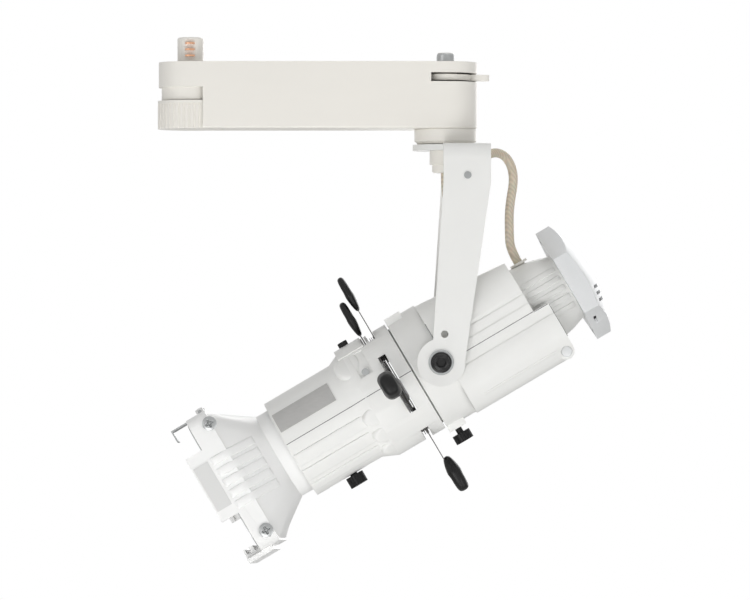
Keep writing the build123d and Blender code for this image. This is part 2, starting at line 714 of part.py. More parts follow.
def cap_block(inset):
    """Six-sided cap with a domed back, drawn in by inset."""
    back = CAP_BACK + inset
    dome = 74.0
    reach = CAP_FLATS / 2 / cos(pi / 6) + 2
    sag = dome - (dome**2 - reach**2) ** 0.5
    half_sag = dome - (dome**2 - reach**2 / 4) ** 0.5
    with BuildPart() as shape:
        with BuildSketch(HEAD.side()):
            with BuildLine():
                Line((back, 0), (CAP_FRONT, 0))
                Line((CAP_FRONT, 0), (CAP_FRONT, reach))
                Line((CAP_FRONT, reach), (back + sag, reach))
                ThreePointArc((back + sag, reach), (back + half_sag, reach / 2), (back, 0))
            make_face()
        revolve(axis=HEAD.axis)
        with BuildSketch(HEAD.across(CAP_BACK - 1)):
            RegularPolygon(CAP_FLATS / 2 - inset, 6, major_radius=False, rotation=30)
        extrude(amount=CAP_FRONT - CAP_BACK + 2, mode=Mode.INTERSECT)
    return shape.part


with BuildPart() as rear_cap:
    web_radius = CAP_FLATS / 2 - 1.5
    add(cap_block(0))
    add(cap_block(CAP_WALL), mode=Mode.SUBTRACT)
    add(tube(HEAD, CAP_FRONT - 2, CAP_FRONT, web_radius, NECK_END + RUN))
    for side in (-1, 1):
        # short vents through the dome, and a slot in the rim for a screwdriver
        sides = sorted(side * reach for reach in VENT_REACH)
        for height in VENT_HEIGHTS:
            heights = (height - 0.8, height + 0.8)
            add(slab(HEAD, (CAP_BACK - 1, CAP_FRONT - 5), heights, sides), mode=Mode.SUBTRACT)
        rim = sorted((side * CAP_FLATS / 4, side * CAP_FLATS))
        add(slab(HEAD, (CAP_FRONT - 4.5, CAP_FRONT - 3), RIM_SLOT, rim), mode=Mode.SUBTRACT)
write(rear_cap.part, "rear_cap")

# ---------------------------------------------------------------- lamp


def paraboloid(back, front, radius, waist):
    """Curved generator of the reflector, from its waist to its rim."""
    middle = ((back * 2 + front) / 3, waist + (radius - waist) * 0.55)
    return ThreePointArc((back, waist), middle, (front, radius))


with BuildPart() as reflector_lamp:
    bowl_back = LAMP_BACK + 15
    with BuildSketch(HEAD.side()):
        with BuildLine():
            paraboloid(bowl_back, LAMP_FRONT, LAMP_RADIUS, 9.0)
            Line((LAMP_FRONT, LAMP_RADIUS), (LAMP_FRONT, LAMP_RADIUS - 1.5))
            paraboloid(bowl_back + 1.5, LAMP_FRONT, LAMP_RADIUS - 1.5, 7.0)
            Polyline(
                (bowl_back + 1.5, 7.0),
                (LAMP_BACK + 9, 7.0),
                (LAMP_BACK + 9, 0),
                (LAMP_BACK, 0),
                (LAMP_BACK, 8.0),
                (bowl_back, 9.0),
            )
        make_face()
    revolve(axis=HEAD.axis)
    for side in (-1, 1):
        with BuildSketch(HEAD.across(LAMP_BACK)):
            with Locations((side * 2.65, 0)):
                Circle(0.8)
        extrude(amount=-6)
write(reflector_lamp.part, "reflector_lamp")

with BuildPart() as lamp_capsule:
    add(peg(HEAD.across(LAMP_BACK + 9), 5.0, 16))
    fillet(lamp_capsule.edges(), radius=1.5)
write(lamp_capsule.part, "lamp_capsule")

with BuildPart() as lamp_ring:
    add(tube(HEAD, LAMP_FRONT + SEAT, SPIGOT_BACK - 0.4, SPIGOT_RADIUS - 0.3, LAMP_RADIUS - 1.5))
write(lamp_ring.part, "lamp_ring")

with BuildPart() as lamp_socket:
    add(peg(HEAD.across(LAMP_BACK - SEAT - SOCKET_LENGTH), SOCKET_RADIUS, SOCKET_LENGTH))
    for side in (-1, 1):
        with BuildSketch(HEAD.across(LAMP_BACK)):
            with Locations((side * 2.65, 0)):
                Circle(0.9)
        extrude(amount=-7, mode=Mode.SUBTRACT)
write(lamp_socket.part, "lamp_socket")

with BuildPart() as socket_bracket:
    bracket_back = COVER_BACK + 4 + SEAT
    bracket_front = LAMP_BACK - SEAT - SOCKET_LENGTH
    add(tube(HEAD, bracket_back, bracket_front, NECK_OUTER - 0.2, 4.0))
    add(tube(HEAD, bracket_front, bracket_front + 4, SOCKET_RADIUS + 1.2, SOCKET_RADIUS))
write(socket_bracket.part, "socket_bracket")

# ---------------------------------------------------------------- shutter barrel
SPIGOT_INNER = SPIGOT_RADIUS - SPIGOT_WALL
BARREL_INNER = BARREL_RADIUS - BARREL_WALL
SLEEVE_INNER = SLEEVE_RADIUS - BARREL_WALL
THUMB_PLACE = 39.0
SCREW_PLACE = 35.9
SCREW_HEIGHT = 13.5
BARREL_OUTLINE = [
    (SPIGOT_BACK, SPIGOT_INNER),
    (SPIGOT_BACK, SPIGOT_RADIUS),
    (BARREL_BACK, SPIGOT_RADIUS),
    (BARREL_BACK, BARREL_RADIUS),
    (SHOULDER_BACK, BARREL_RADIUS),
    (SHOULDER_FRONT, SLEEVE_RADIUS),
    (SLEEVE_FRONT, SLEEVE_RADIUS),
    (SLEEVE_FRONT, SLEEVE_INNER),
    (SHOULDER_FRONT - 0.4, SLEEVE_INNER),
    (SHOULDER_BACK - 0.4, BARREL_INNER),
    (BARREL_BACK + BARREL_WALL, BARREL_INNER),
    (BARREL_BACK + BARREL_WALL, SPIGOT_INNER),
]


def barrel_cuts():
    """Shutter slots on four sides, the pattern slot on top and the focus slot below."""
    wall = (BARREL_INNER - 6, BARREL_RADIUS + 3)
    with BuildPart() as shape:
        for roll in (0, 90, 180, 270):
            turn = Optics(BARREL_ROLL + roll)
            add(slab(turn, (GATE_BACK, GATE_FRONT), wall, (-GATE_HALF, GATE_HALF)))
        half = PATTERN_WIDTH / 2 + 0.5
        add(slab(BARREL, PATTERN_SLOT, wall, (-half, half)))
        add(slab(Optics(BARREL_ROLL + 180), FOCUS_SLOT, wall, (-2.2, 2.2)))
        add(peg(BARREL.above(BARREL_INNER - 3, THUMB_PLACE), 1.2 + RUN, 9))
    return shape.part


def barrel_screw(side, head, shank):
    """Joint screw seen in its pocket on one side of the barrel."""
    spot = Optics(BARREL_ROLL)
    origin = PIVOT + FORWARD * SCREW_PLACE + spot.up * SCREW_HEIGHT + spot.far * side * 27.2
    plane = Plane(origin=origin, x_dir=FORWARD, z_dir=spot.far * side)
    with BuildPart() as shape:
        add(peg(plane, head, 1.6))
        add(peg(plane, shank, -4))
    return shape.part


def pocket(side):
    """Shallow pocket round the joint screw."""
    places = (SCREW_PLACE - 3.7, SCREW_PLACE + 3.6)
    angles = (22, 54) if side < 0 else (126, 158)
    return sector(BARREL, places, (BARREL_RADIUS - 1, BARREL_RADIUS + 1), angles)


with BuildPart() as barrel_upper:
    add(turned(BARREL, BARREL_OUTLINE))
    add(slab(BARREL, (0, 100), (-50, BARREL_SEAM + SEAT), (-50, 50)), mode=Mode.SUBTRACT)
    add(barrel_cuts(), mode=Mode.SUBTRACT)
    for side in (-1, 1):
        add(pocket(side), mode=Mode.SUBTRACT)
        add(barrel_screw(side, 1.9, 1.2), mode=Mode.SUBTRACT)
write(barrel_upper.part, "barrel_upper")

with BuildPart() as barrel_lower:
    add(turned(BARREL, BARREL_OUTLINE))
    add(slab(BARREL, (0, 100), (BARREL_SEAM, 50), (-50, 50)), mode=Mode.SUBTRACT)
    add(barrel_cuts(), mode=Mode.SUBTRACT)
write(barrel_lower.part, "barrel_lower")

with BuildPart() as barrel_screws:
    for side in (-1, 1):
        add(barrel_screw(side, 1.9, 1.2))
write(barrel_screws.part, "barrel_screws")

with BuildPart() as label_plate:
    add(sector(BARREL, LABEL, (SLEEVE_RADIUS, SLEEVE_RADIUS + 0.4), (18.6, 43.5)))
write(label_plate.part, "label_plate")

with BuildPart() as slot_cover:
    cover_radii = (BARREL_RADIUS + 0.05, BARREL_RADIUS + 0.95)
    add(sector(BARREL, (PATTERN_SLOT[1] + 0.6, SHOULDER_BACK + 2.6), cover_radii, (56, 124)))
    add(peg(BARREL.above(BARREL_INNER, THUMB_PLACE), 1.2 + RUN, 9), mode=Mode.SUBTRACT)
write(slot_cover.part, "slot_cover")

with BuildPart() as slot_thumbscrew:
    thumb_seat = BARREL_RADIUS + 1.05
    add(peg(BARREL.above(BARREL_INNER + 0.2, THUMB_PLACE), 1.2, thumb_seat - BARREL_INNER - 0.2))
    add(fluted(BARREL.above(thumb_seat, THUMB_PLACE), 2.7, 2.4, 14, 0.25))
write(slot_thumbscrew.part, "slot_thumbscrew")

SHEET_PITCH = SHUTTER_SHEET + GATE_PLATE + 2 * SHUTTER_GAP
FIRST_SHEET = GATE_BACK + 0.25
with BuildPart() as gate_plates:
    for number in range(3):
        back = FIRST_SHEET + SHUTTER_SHEET + SHUTTER_GAP + number * SHEET_PITCH
        with BuildSketch(BARREL.across(back)):
            Circle(BARREL_INNER - 0.2)
            RectangleRounded(APERTURE, APERTURE, 3, mode=Mode.SUBTRACT)
        extrude(amount=GATE_PLATE)
write(gate_plates.part, "gate_plates")


def sheet(optics, back, thickness, edge, top, tang_end, width):
    """Thin plate from its inner edge to just outside the barrel, with a narrow tang."""
    with BuildPart() as shape:
        with BuildSketch(optics.across(back)):
            with Locations((0, (edge + top) / 2)):
                Rectangle(width, top - edge)
            with Locations((0, (top + tang_end) / 2)):
                Rectangle(TANG_WIDTH, tang_end - top)
        extrude(amount=thickness)
    return shape.part


def paddle(optics, place, root, lean):
    """Flat grip that widens from its root and narrows to a round tip."""
    normal = FORWARD * cos(radians(lean)) - optics.up * sin(radians(lean))
    origin = PIVOT + FORWARD * place + optics.up * root
    plane = Plane(origin=origin, x_dir=optics.far * -1, z_dir=normal)
    wide = HANDLE_WIDTH / 2
    with BuildPart() as shape:
        with BuildSketch(plane) as outline:
            with BuildLine():
                Polyline(
                    (-0.6 * wide, 0),
                    (-wide, HANDLE_LENGTH * 0.35),
                    (-0.8 * wide, HANDLE_LENGTH),
                    (0.8 * wide, HANDLE_LENGTH),
                    (wide, HANDLE_LENGTH * 0.35),
                    (0.6 * wide, 0),
                    close=True,
                )
            make_face()
            fillet(outline.vertices().group_by(Axis(origin, plane.y_dir))[-1], radius=3.5)
        extrude(amount=HANDLE_THICKNESS / 2, both=True)
        chamfer(shape.faces().sort_by(Axis(origin, normal))[-1].edges(), length=0.8)
        chamfer(shape.faces().sort_by(Axis(origin, normal))[0].edges(), length=0.8)
    return shape.part


# each shutter: name, roll about the barrel, order in the gate, lean of its handle
SHUTTERS = [
    ("shutter_top", 0, 0, 0),
    ("shutter_bottom", 180, 1, -8),
    ("shutter_far", 90, 2, 8),
    ("shutter_near", -90, 3, 14),
]
for name, roll, order, lean in SHUTTERS:
    turn = Optics(BARREL_ROLL + roll)
    back = FIRST_SHEET + order * SHEET_PITCH
    tang_end = HANDLE_ROOT + 7
    with BuildPart() as blade:
        add(sheet(turn, back, SHUTTER_SHEET, SHUTTER_OPEN, BARREL_RADIUS + 2, tang_end, SHUTTER_WIDTH))
    with BuildPart() as handle:
        add(paddle(turn, back + SHUTTER_SHEET / 2, HANDLE_ROOT, lean))
        add(blade.part, mode=Mode.SUBTRACT)
    write(blade.part, name + "_blade")
    write(handle.part, name + "_handle")

with BuildPart() as pattern_holder:
    pattern_back = sum(PATTERN_SLOT) / 2 - PATTERN_SHEET / 2
    pattern_top = BARREL_RADIUS + 0.6
    pattern_end = PATTERN_HANDLE_ROOT + 7
    add(sheet(BARREL, pattern_back, PATTERN_SHEET, -PATTERN_DEPTH, pattern_top, pattern_end, PATTERN_WIDTH))
    add(peg(BARREL.across(pattern_back - 1), APERTURE / 2, 3), mode=Mode.SUBTRACT)
write(pattern_holder.part, "pattern_holder")

with BuildPart() as pattern_handle:
    add(paddle(BARREL, sum(PATTERN_SLOT) / 2, PATTERN_HANDLE_ROOT, 0))
    add(pattern_holder.part, mode=Mode.SUBTRACT)
write(pattern_handle.part, "pattern_handle")

BELOW = Optics(180)
BARREL_BELOW = Optics(BARREL_ROLL + 180)
with BuildPart() as rotation_lock_knob:
    knob_seat = RING_RADIUS + 5.4
    add(peg(BELOW.above(SPIGOT_RADIUS + 0.2, LOCK_KNOB_PLACE), 1.8, knob_seat - SPIGOT_RADIUS))
    add(fluted(BELOW.above(knob_seat, LOCK_KNOB_PLACE), 4.95, 4.7, 18, 0.35))
write(rotation_lock_knob.part, "rotation_lock_knob")

# ---------------------------------------------------------------- lens tube
TUBE_INNER = TUBE_RADIUS - TUBE_WALL
with BuildPart() as lens_tube:
    add(tube(BARREL, TUBE_BACK, TUBE_FRONT, TUBE_RADIUS, TUBE_INNER))
    for back in (TUBE_BACK + 1, TUBE_BACK + 12):
        add(tube(BARREL, back, back + 3, SLEEVE_INNER - RUN, TUBE_RADIUS - 0.5))
    add(peg(BARREL_BELOW.above(TUBE_INNER - 2, FOCUS_KNOB_PLACE), 2.0 + RUN, 8), mode=Mode.SUBTRACT)
write(lens_tube.part, "lens_tube")


def lens(back, thickness, bulge):
    """Plano-convex lens with its flat face to the lamp."""
    edge = TUBE_INNER - SEAT
    rim = back + thickness - bulge
    ball = (edge**2 + bulge**2) / (2 * bulge)
    half_sag = ball - (ball**2 - edge**2 / 4) ** 0.5
    with BuildPart() as shape:
        with BuildSketch(BARREL.side()):
            with BuildLine():
                Polyline((back + thickness, 0), (back, 0), (back, edge), (rim, edge))
                ThreePointArc((rim, edge), (back + thickness - half_sag, edge / 2), (back + thickness, 0))
            make_face()
        revolve(axis=BARREL.axis)
    return shape.part


REAR_LENS = FOCUS_KNOB_PLACE + 4
FRONT_LENS = TUBE_FRONT - LENS_THICKNESS - 4
with BuildPart() as lens_rear:
    add(lens(REAR_LENS, LENS_THICKNESS, LENS_BULGE))
write(lens_rear.part, "lens_rear")

with BuildPart() as lens_front:
    add(lens(FRONT_LENS, LENS_THICKNESS, LENS_BULGE))
write(lens_front.part, "lens_front")

with BuildPart() as lens_rings:
    for lens_back in (REAR_LENS, FRONT_LENS):
        for back in (lens_back - 1.1, lens_back + LENS_THICKNESS - LENS_BULGE + 0.5):
            add(tube(BARREL, back, back + 1, TUBE_INNER - 0.05, TUBE_INNER - 1.2))
write(lens_rings.part, "lens_rings")

with BuildPart() as focus_knob:
    knob_seat = SLEEVE_RADIUS + 0.7
    add(peg(BARREL_BELOW.above(TUBE_INNER + 0.3, FOCUS_KNOB_PLACE), 2.0, knob_seat - TUBE_INNER - 0.3))
    add(fluted(BARREL_BELOW.above(knob_seat, FOCUS_KNOB_PLACE), 4.9, 5.7, 20, 0.35))
write(focus_knob.part, "focus_knob")


def horn(start, end):
    """Loft from a round start to a rounded square end."""
    with BuildPart() as shape:
        with BuildSketch(BARREL.across(TUBE_FRONT)):
            Circle(start)
        with BuildSketch(BARREL.across(HORN_FRONT)):
            RectangleRounded(2 * end, 2 * end, 11)
        loft()
    return shape.part


PIN_PLACE = HORN_FRONT + 3.6
PIN_HEIGHT = HOLDER_HALF + 2.1
HOLDER_SCREWS = [(HORN_FRONT + 0.8, 30.8), (HORN_FRONT + 3.4, -30.9)]


def holder_screw(side, place, height):
    origin = PIVOT + FORWARD * place + BARREL.up * height + BARREL.far * side * HOLDER_HALF
    plane = Plane(origin=origin, x_dir=FORWARD, z_dir=BARREL.far * side)
    with BuildPart() as shape:
        add(peg(plane, 3.7, 1.4))
        add(peg(plane, 1.8, -3.5))
    return shape.part


with BuildPart() as front_holder:
    add(horn(TUBE_RADIUS + 0.2, HOLDER_HALF - 1))
    with BuildSketch(BARREL.across(HORN_FRONT)):
        RectangleRounded(2 * HOLDER_HALF, 2 * HOLDER_HALF, 8)
    extrude(amount=HOLDER_FRONT - HORN_FRONT)
    add(horn(TUBE_INNER, HOLDER_HALF - 3), mode=Mode.SUBTRACT)
    with BuildSketch(BARREL.across(HORN_FRONT)):
        RectangleRounded(2 * HOLDER_OPENING, 2 * HOLDER_OPENING, 4)
    extrude(amount=HOLDER_FRONT - HORN_FRONT, mode=Mode.SUBTRACT)
    # lips that hold the colour frames at both sides and below
    groove_floor = HOLDER_HALF - 2
    for side in (-1, 1):
        sides = sorted((side * (HOLDER_OPENING + 0.5), side * HOLDER_HALF))
        add(slab(BARREL, (HOLDER_FRONT, LIP_FRONT), (-16, 21), sides))
        for groove in FRAME_GROOVES:
            cut = sorted((side * HOLDER_OPENING, side * groove_floor))
            add(slab(BARREL, groove, (-17, 22), cut), mode=Mode.SUBTRACT)
    lip_back = HORN_FRONT + 5
    add(slab(BARREL, (lip_back, LIP_FRONT - 1), (-HOLDER_HALF - 2.5, -HOLDER_HALF), (-30, 30)))
    add(slab(BARREL, (HOLDER_FRONT, LIP_FRONT - 1), (-HOLDER_HALF, -HOLDER_OPENING - 0.5), (-25, 25)))
    for groove in FRAME_GROOVES:
        add(slab(BARREL, groove, (-groove_floor, -HOLDER_OPENING), (-26, 26)), mode=Mode.SUBTRACT)
    # ears for the clip's pin
    for side in (-1, 1):
        sides = sorted((side * (CLIP_HALF + 0.3), side * (CLIP_HALF + 2.3)))
        add(slab(BARREL, (PIN_PLACE - 2, PIN_PLACE + 2), (HOLDER_HALF, PIN_HEIGHT + 1.6), sides))
    with BuildSketch(BARREL.side()):
        with Locations((PIN_PLACE, PIN_HEIGHT)):
            Circle(CLIP_PIN_RADIUS)
    extrude(amount=CLIP_HALF + 3, both=True, mode=Mode.SUBTRACT)
    for side in (-1, 1):
        for place, height in HOLDER_SCREWS:
            add(holder_screw(side, place, height), mode=Mode.SUBTRACT)
write(front_holder.part, "front_holder")

with BuildPart() as holder_screws:
    for side in (-1, 1):
        for place, height in HOLDER_SCREWS:
            add(holder_screw(side, place, height))
write(holder_screws.part, "holder_screws")

with BuildPart() as holder_label:
    places = (HOLDER_FRONT + 0.6, LIP_FRONT - 0.8)
    add(slab(BARREL, places, (-10.4, 14.6), (-HOLDER_HALF - 0.4, -HOLDER_HALF)))
write(holder_label.part, "holder_label")

with BuildPart() as clip_pin:
    with BuildSketch(BARREL.side()):
        with Locations((PIN_PLACE, PIN_HEIGHT)):
            Circle(CLIP_PIN_RADIUS)
    extrude(amount=CLIP_HALF + 2.3, both=True)
write(clip_pin.part, "clip_pin")

with BuildPart() as frame_clip:
    strip_bottom = HOLDER_HALF + 0.25
    strip_heights = (strip_bottom, strip_bottom + CLIP_SHEET)
    with BuildSketch(BARREL.side()):
        with Locations((PIN_PLACE, PIN_HEIGHT)):
            Circle(CLIP_PIN_RADIUS + RUN + CLIP_SHEET)
    extrude(amount=CLIP_HALF, both=True)
    add(slab(BARREL, (PIN_PLACE, LIP_FRONT + 1.1), strip_heights, (-CLIP_HALF, CLIP_HALF)))
    hook = (LIP_FRONT + 0.3, LIP_FRONT + 0.3 + CLIP_SHEET)
    add(slab(BARREL, hook, (HOLDER_OPENING, strip_bottom), (-CLIP_HALF, CLIP_HALF)))
    with BuildSketch(BARREL.side()):
        with Locations((PIN_PLACE, PIN_HEIGHT)):
            Circle(CLIP_PIN_RADIUS + RUN)
    extrude(amount=CLIP_HALF + 1, both=True, mode=Mode.SUBTRACT)
write(frame_clip.part, "frame_clip")

# ---------------------------------------------------------------- lamp lead
# from the swivel bush, down and round in the yoke, over the back edge and down to the grommet
LEAD_IN = PIVOT + FORWARD * GROMMET_PLACE + UP * GROMMET_TOP
LEAD_ABOVE = LEAD_IN + UP * 8
LEAD_POINTS = [
    (0, 0, BUSH_END),
    (0, 0, -72.5),
    (5.75, -13.5, -81.5),
    (11.5, -27, -74),
    (12.3, -25, -57.5),
    (22.5, -12, -46.5),
    (31.5, -3, -47.8),
    (36.2, 0, -58.5),
    (33.2, 0, -75),
    (33.2, 0, -88),
    (LEAD_ABOVE.X, LEAD_ABOVE.Y, LEAD_ABOVE.Z),
    (LEAD_IN.X, LEAD_IN.Y, LEAD_IN.Z),
]


def corner_radii(points):
    """Arc radius at each corner: 0.45 of the shorter run over the tangent of half the turn."""
    corners = [Vector(*point) for point in points]
    radii = []
    for before, corner, after in zip(corners, corners[1:], corners[2:]):
        first = corner - before
        second = after - corner
        half_turn = radians(first.get_angle(second)) / 2
        radii.append(0.45 * min(first.length, second.length) / tan(half_turn))
    return radii


lead_radii = corner_radii(LEAD_POINTS)
with BuildPart() as lamp_lead:
    with BuildLine() as route:
        FilletPolyline(*LEAD_POINTS, radius=lead_radii)
    with BuildSketch(Plane(origin=LEAD_POINTS[0], z_dir=(0, 0, -1))):
        Circle(LEAD_DIAMETER / 2)
    sweep(path=route.wire())
write(lamp_lead.part, "lamp_lead")
lead_length = route.wire().length
print("lead radii", [round(radius, 1) for radius in lead_radii])
print("lead length", round(lead_length, 1))
tube_volume = pi * LEAD_DIAMETER**2 / 4 * lead_length
print("lead volume over section times length", round(lamp_lead.part.volume / tube_volume, 6))
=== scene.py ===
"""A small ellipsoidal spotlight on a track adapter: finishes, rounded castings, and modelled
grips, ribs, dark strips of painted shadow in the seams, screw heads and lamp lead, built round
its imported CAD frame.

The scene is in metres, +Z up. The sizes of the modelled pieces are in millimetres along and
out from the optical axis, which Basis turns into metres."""

import json
import math

import bmesh
import bpy
import numpy as np
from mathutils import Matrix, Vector


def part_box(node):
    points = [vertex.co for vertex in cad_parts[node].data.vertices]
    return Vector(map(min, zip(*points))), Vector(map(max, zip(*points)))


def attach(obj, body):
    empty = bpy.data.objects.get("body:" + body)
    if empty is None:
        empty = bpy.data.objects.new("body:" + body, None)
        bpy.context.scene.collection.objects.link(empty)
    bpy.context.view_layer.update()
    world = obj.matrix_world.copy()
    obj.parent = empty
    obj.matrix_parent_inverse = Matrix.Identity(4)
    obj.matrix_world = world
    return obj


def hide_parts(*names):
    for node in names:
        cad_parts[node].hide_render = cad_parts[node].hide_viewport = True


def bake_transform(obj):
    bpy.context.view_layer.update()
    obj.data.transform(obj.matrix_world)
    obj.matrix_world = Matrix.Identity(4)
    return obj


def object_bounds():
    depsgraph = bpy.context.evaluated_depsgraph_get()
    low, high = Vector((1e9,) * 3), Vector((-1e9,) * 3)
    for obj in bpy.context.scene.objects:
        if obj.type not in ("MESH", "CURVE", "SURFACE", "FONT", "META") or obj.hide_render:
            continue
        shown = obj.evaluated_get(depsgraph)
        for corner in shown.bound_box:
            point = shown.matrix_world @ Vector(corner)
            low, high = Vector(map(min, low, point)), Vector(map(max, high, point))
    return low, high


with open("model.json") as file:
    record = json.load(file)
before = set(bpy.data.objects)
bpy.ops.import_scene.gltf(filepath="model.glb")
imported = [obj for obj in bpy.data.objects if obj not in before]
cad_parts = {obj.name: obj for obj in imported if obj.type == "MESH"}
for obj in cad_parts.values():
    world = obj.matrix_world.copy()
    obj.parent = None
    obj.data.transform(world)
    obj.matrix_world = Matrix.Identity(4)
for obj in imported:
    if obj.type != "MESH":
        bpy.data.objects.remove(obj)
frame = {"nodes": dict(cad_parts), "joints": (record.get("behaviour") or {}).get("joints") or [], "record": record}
CAD_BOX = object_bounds()

bl_info = {
    "name": "Ellipsoidal spotlight",
    "version": (1, 0, 0),
    "blender": (4, 5, 0),
    "location": "View3D > Sidebar > Spotlight",
    "description": "Builds the finishes and modelled pieces of a small track spotlight",
    "category": "Add Mesh",
}

MM = 0.001
JOINTS = {joint["name"]: joint for joint in frame["joints"]}
NODES = frame["nodes"]


def unit(vector):
    """The vector scaled to length one."""
    vector = np.asarray(vector, dtype=float)
    return vector / np.linalg.norm(vector)


PIVOT = np.array(JOINTS["tilt"]["pos_m"])
FORWARD = unit(JOINTS["barrel_turn"]["axis"])
ACROSS = np.array([0.0, 1.0, 0.0])
HEAD_UP = unit(np.cross(ACROSS, FORWARD))
BARREL_UP = unit(JOINTS["pattern_slide"]["axis"])


class Basis:
    """Directions from the tilt pivot: along the optical axis, up from it, and to its far side."""

    def __init__(self, up):
        self.up = unit(up)
        self.far = np.cross(FORWARD, self.up)

    def place(self, along, height, side):
        """Points in metres from distances in millimetres, as arrays of one shape."""
        along, height, side = np.broadcast_arrays(along, height, side)
        parts = (along[..., None] * FORWARD, height[..., None] * self.up, side[..., None] * self.far)
        return PIVOT + MM * sum(parts)


HEAD = Basis(HEAD_UP)
BARREL = Basis(BARREL_UP)
SIDES = (-1, 1)


class SpotlightSizes(bpy.types.PropertyGroup):
    """Sizes that a user may change."""

    casting_edge: bpy.props.FloatProperty(
        name="Casting edge", description="Rounding on the edges of castings",
        default=0.0006, min=0.0001, max=0.002, subtype="DISTANCE", unit="LENGTH")
    sheet_edge: bpy.props.FloatProperty(
        name="Sheet edge", description="Rounding on the edges of sheet and small pieces",
        default=0.00015, min=0.00005, max=0.001, subtype="DISTANCE", unit="LENGTH")
    lead_diameter: bpy.props.FloatProperty(
        name="Lead diameter", description="Outside diameter of the lamp lead's sleeve",
        default=0.0047, min=0.003, max=0.008, subtype="DISTANCE", unit="LENGTH")


class SpotlightColours(bpy.types.PropertyGroup):
    """Colours that a user may change, as linear values."""

    enamel: bpy.props.FloatVectorProperty(
        name="Enamel", description="Colour of the enamelled castings",
        default=(0.84, 0.84, 0.82), size=3, min=0.0, max=1.0, subtype="COLOR")
    holder: bpy.props.FloatVectorProperty(
        name="Front holder", description="Colour of the lens tube and the front holder",
        default=(0.92, 0.92, 0.91), size=3, min=0.0, max=1.0, subtype="COLOR")
    adapter: bpy.props.FloatVectorProperty(
        name="Adapter", description="Colour of the adapter's moulded plastic",
        default=(0.87, 0.845, 0.79), size=3, min=0.0, max=1.0, subtype="COLOR")
    cap: bpy.props.FloatVectorProperty(
        name="Rear cap", description="Colour of the rear cap's satin paint",
        default=(0.74, 0.75, 0.755), size=3, min=0.0, max=1.0, subtype="COLOR")
    grips: bpy.props.FloatVectorProperty(
        name="Grips", description="Colour of the shutter grips and the focus knob",
        default=(0.010, 0.010, 0.010), size=3, min=0.0, max=1.0, subtype="COLOR")
    sleeve: bpy.props.FloatVectorProperty(
        name="Lead sleeve", description="Colour of the lamp lead's sleeve",
        default=(0.62, 0.55, 0.44), size=3, min=0.0, max=1.0, subtype="COLOR")


# ---------------------------------------------------------------- shader maths


class Value:
    """A socket of the node tree. Arithmetic on it adds Math nodes."""

    def __init__(self, finish, socket):
        self.finish = finish
        self.socket = socket

    def combined(self, operation, *others):
        """The result of a Math node on the given values."""
        return self.finish.node("ShaderNodeMath", {"operation": operation}, *others)

    def __add__(self, other):
        return self.combined("ADD", self, other)

    def __radd__(self, other):
        return self.combined("ADD", other, self)

    def __sub__(self, other):
        return self.combined("SUBTRACT", self, other)

    def __rsub__(self, other):
        return self.combined("SUBTRACT", other, self)

    def __mul__(self, other):
        return self.combined("MULTIPLY", self, other)

    def __rmul__(self, other):
        return self.combined("MULTIPLY", other, self)

    def __pow__(self, other):
        return self.combined("POWER", self, other)


class Finish:
    """A material with a Principled shader, on Object coordinates."""

    def __init__(self, name, colour, roughness, **sockets):
        self.material = bpy.data.materials.new(name)
        self.material.use_nodes = True
        self.tree = self.material.node_tree
        self.shader = self.tree.nodes["Principled BSDF"]
        self.shader.inputs["Base Color"].default_value = (*colour, 1.0)
        self.shader.inputs["Roughness"].default_value = roughness
        for label, number in sockets.items():
            self.shader.inputs[label.replace("_", " ")].default_value = number
        self.place = self.node("ShaderNodeTexCoord", {}, output="Object")

    def node(self, kind, settings, *inputs, output=0, **named):
        """Adds a node: its settings first, then the values or links of its sockets."""
        node = self.tree.nodes.new(kind)
        for label, setting in settings.items():
            if label == "stops":
                while len(node.color_ramp.elements) < len(setting):
                    node.color_ramp.elements.new(0.5)
                for element, (position, colour) in zip(node.color_ramp.elements, setting):
                    element.position = position
                    element.color = colour
            else:
                setattr(node, label, setting)
        pairs = list(zip(node.inputs, inputs))
        pairs += [(node.inputs[label.replace("_", " ")], given) for label, given in named.items()]
        for socket, given in pairs:
            self.feed(socket, given)
        return Value(self, node.outputs[output])

    def feed(self, socket, given):
        """Links a Value to a socket, or sets a plain number, vector or colour on it."""
        if isinstance(given, Value):
            self.tree.links.new(given.socket, socket)
        elif hasattr(socket.default_value, "__len__") and len(socket.default_value) == 4:
            socket.default_value = (*given[:3], 1.0)
        else:
            socket.default_value = given

    def set(self, label, given):
        """Feeds one of the shader's sockets."""
        self.feed(self.shader.inputs[label], given)

    def noise(self, scale, detail=2.0, stretch=None):
        """Fractal noise between 0 and 1; stretch squeezes it along some axes."""
        place = self.place
        if stretch:
            place = self.node("ShaderNodeMapping", {}, place, Scale=stretch)
        return self.node("ShaderNodeTexNoise", {}, Vector=place, Scale=scale, Detail=detail, output="Fac")

    def tint(self, mask, low, high):
        """Base colour that goes from low to high with the mask."""
        stops = [(0.0, (*low, 1.0)), (1.0, (*high, 1.0))]
        self.set("Base Color", self.node("ShaderNodeValToRGB", {"stops": stops}, mask, output="Color"))

    def bump(self, height, strength, distance):
        """Feeds a Bump node to the shader's normal."""
        normal = self.node("ShaderNodeBump", {}, Strength=strength, Distance=distance, Height=height)
        self.set("Normal", normal)


def shade(colour, factor):
    """The colour made darker or lighter by a factor."""
    return tuple(min(1.0, part * factor) for part in colour)


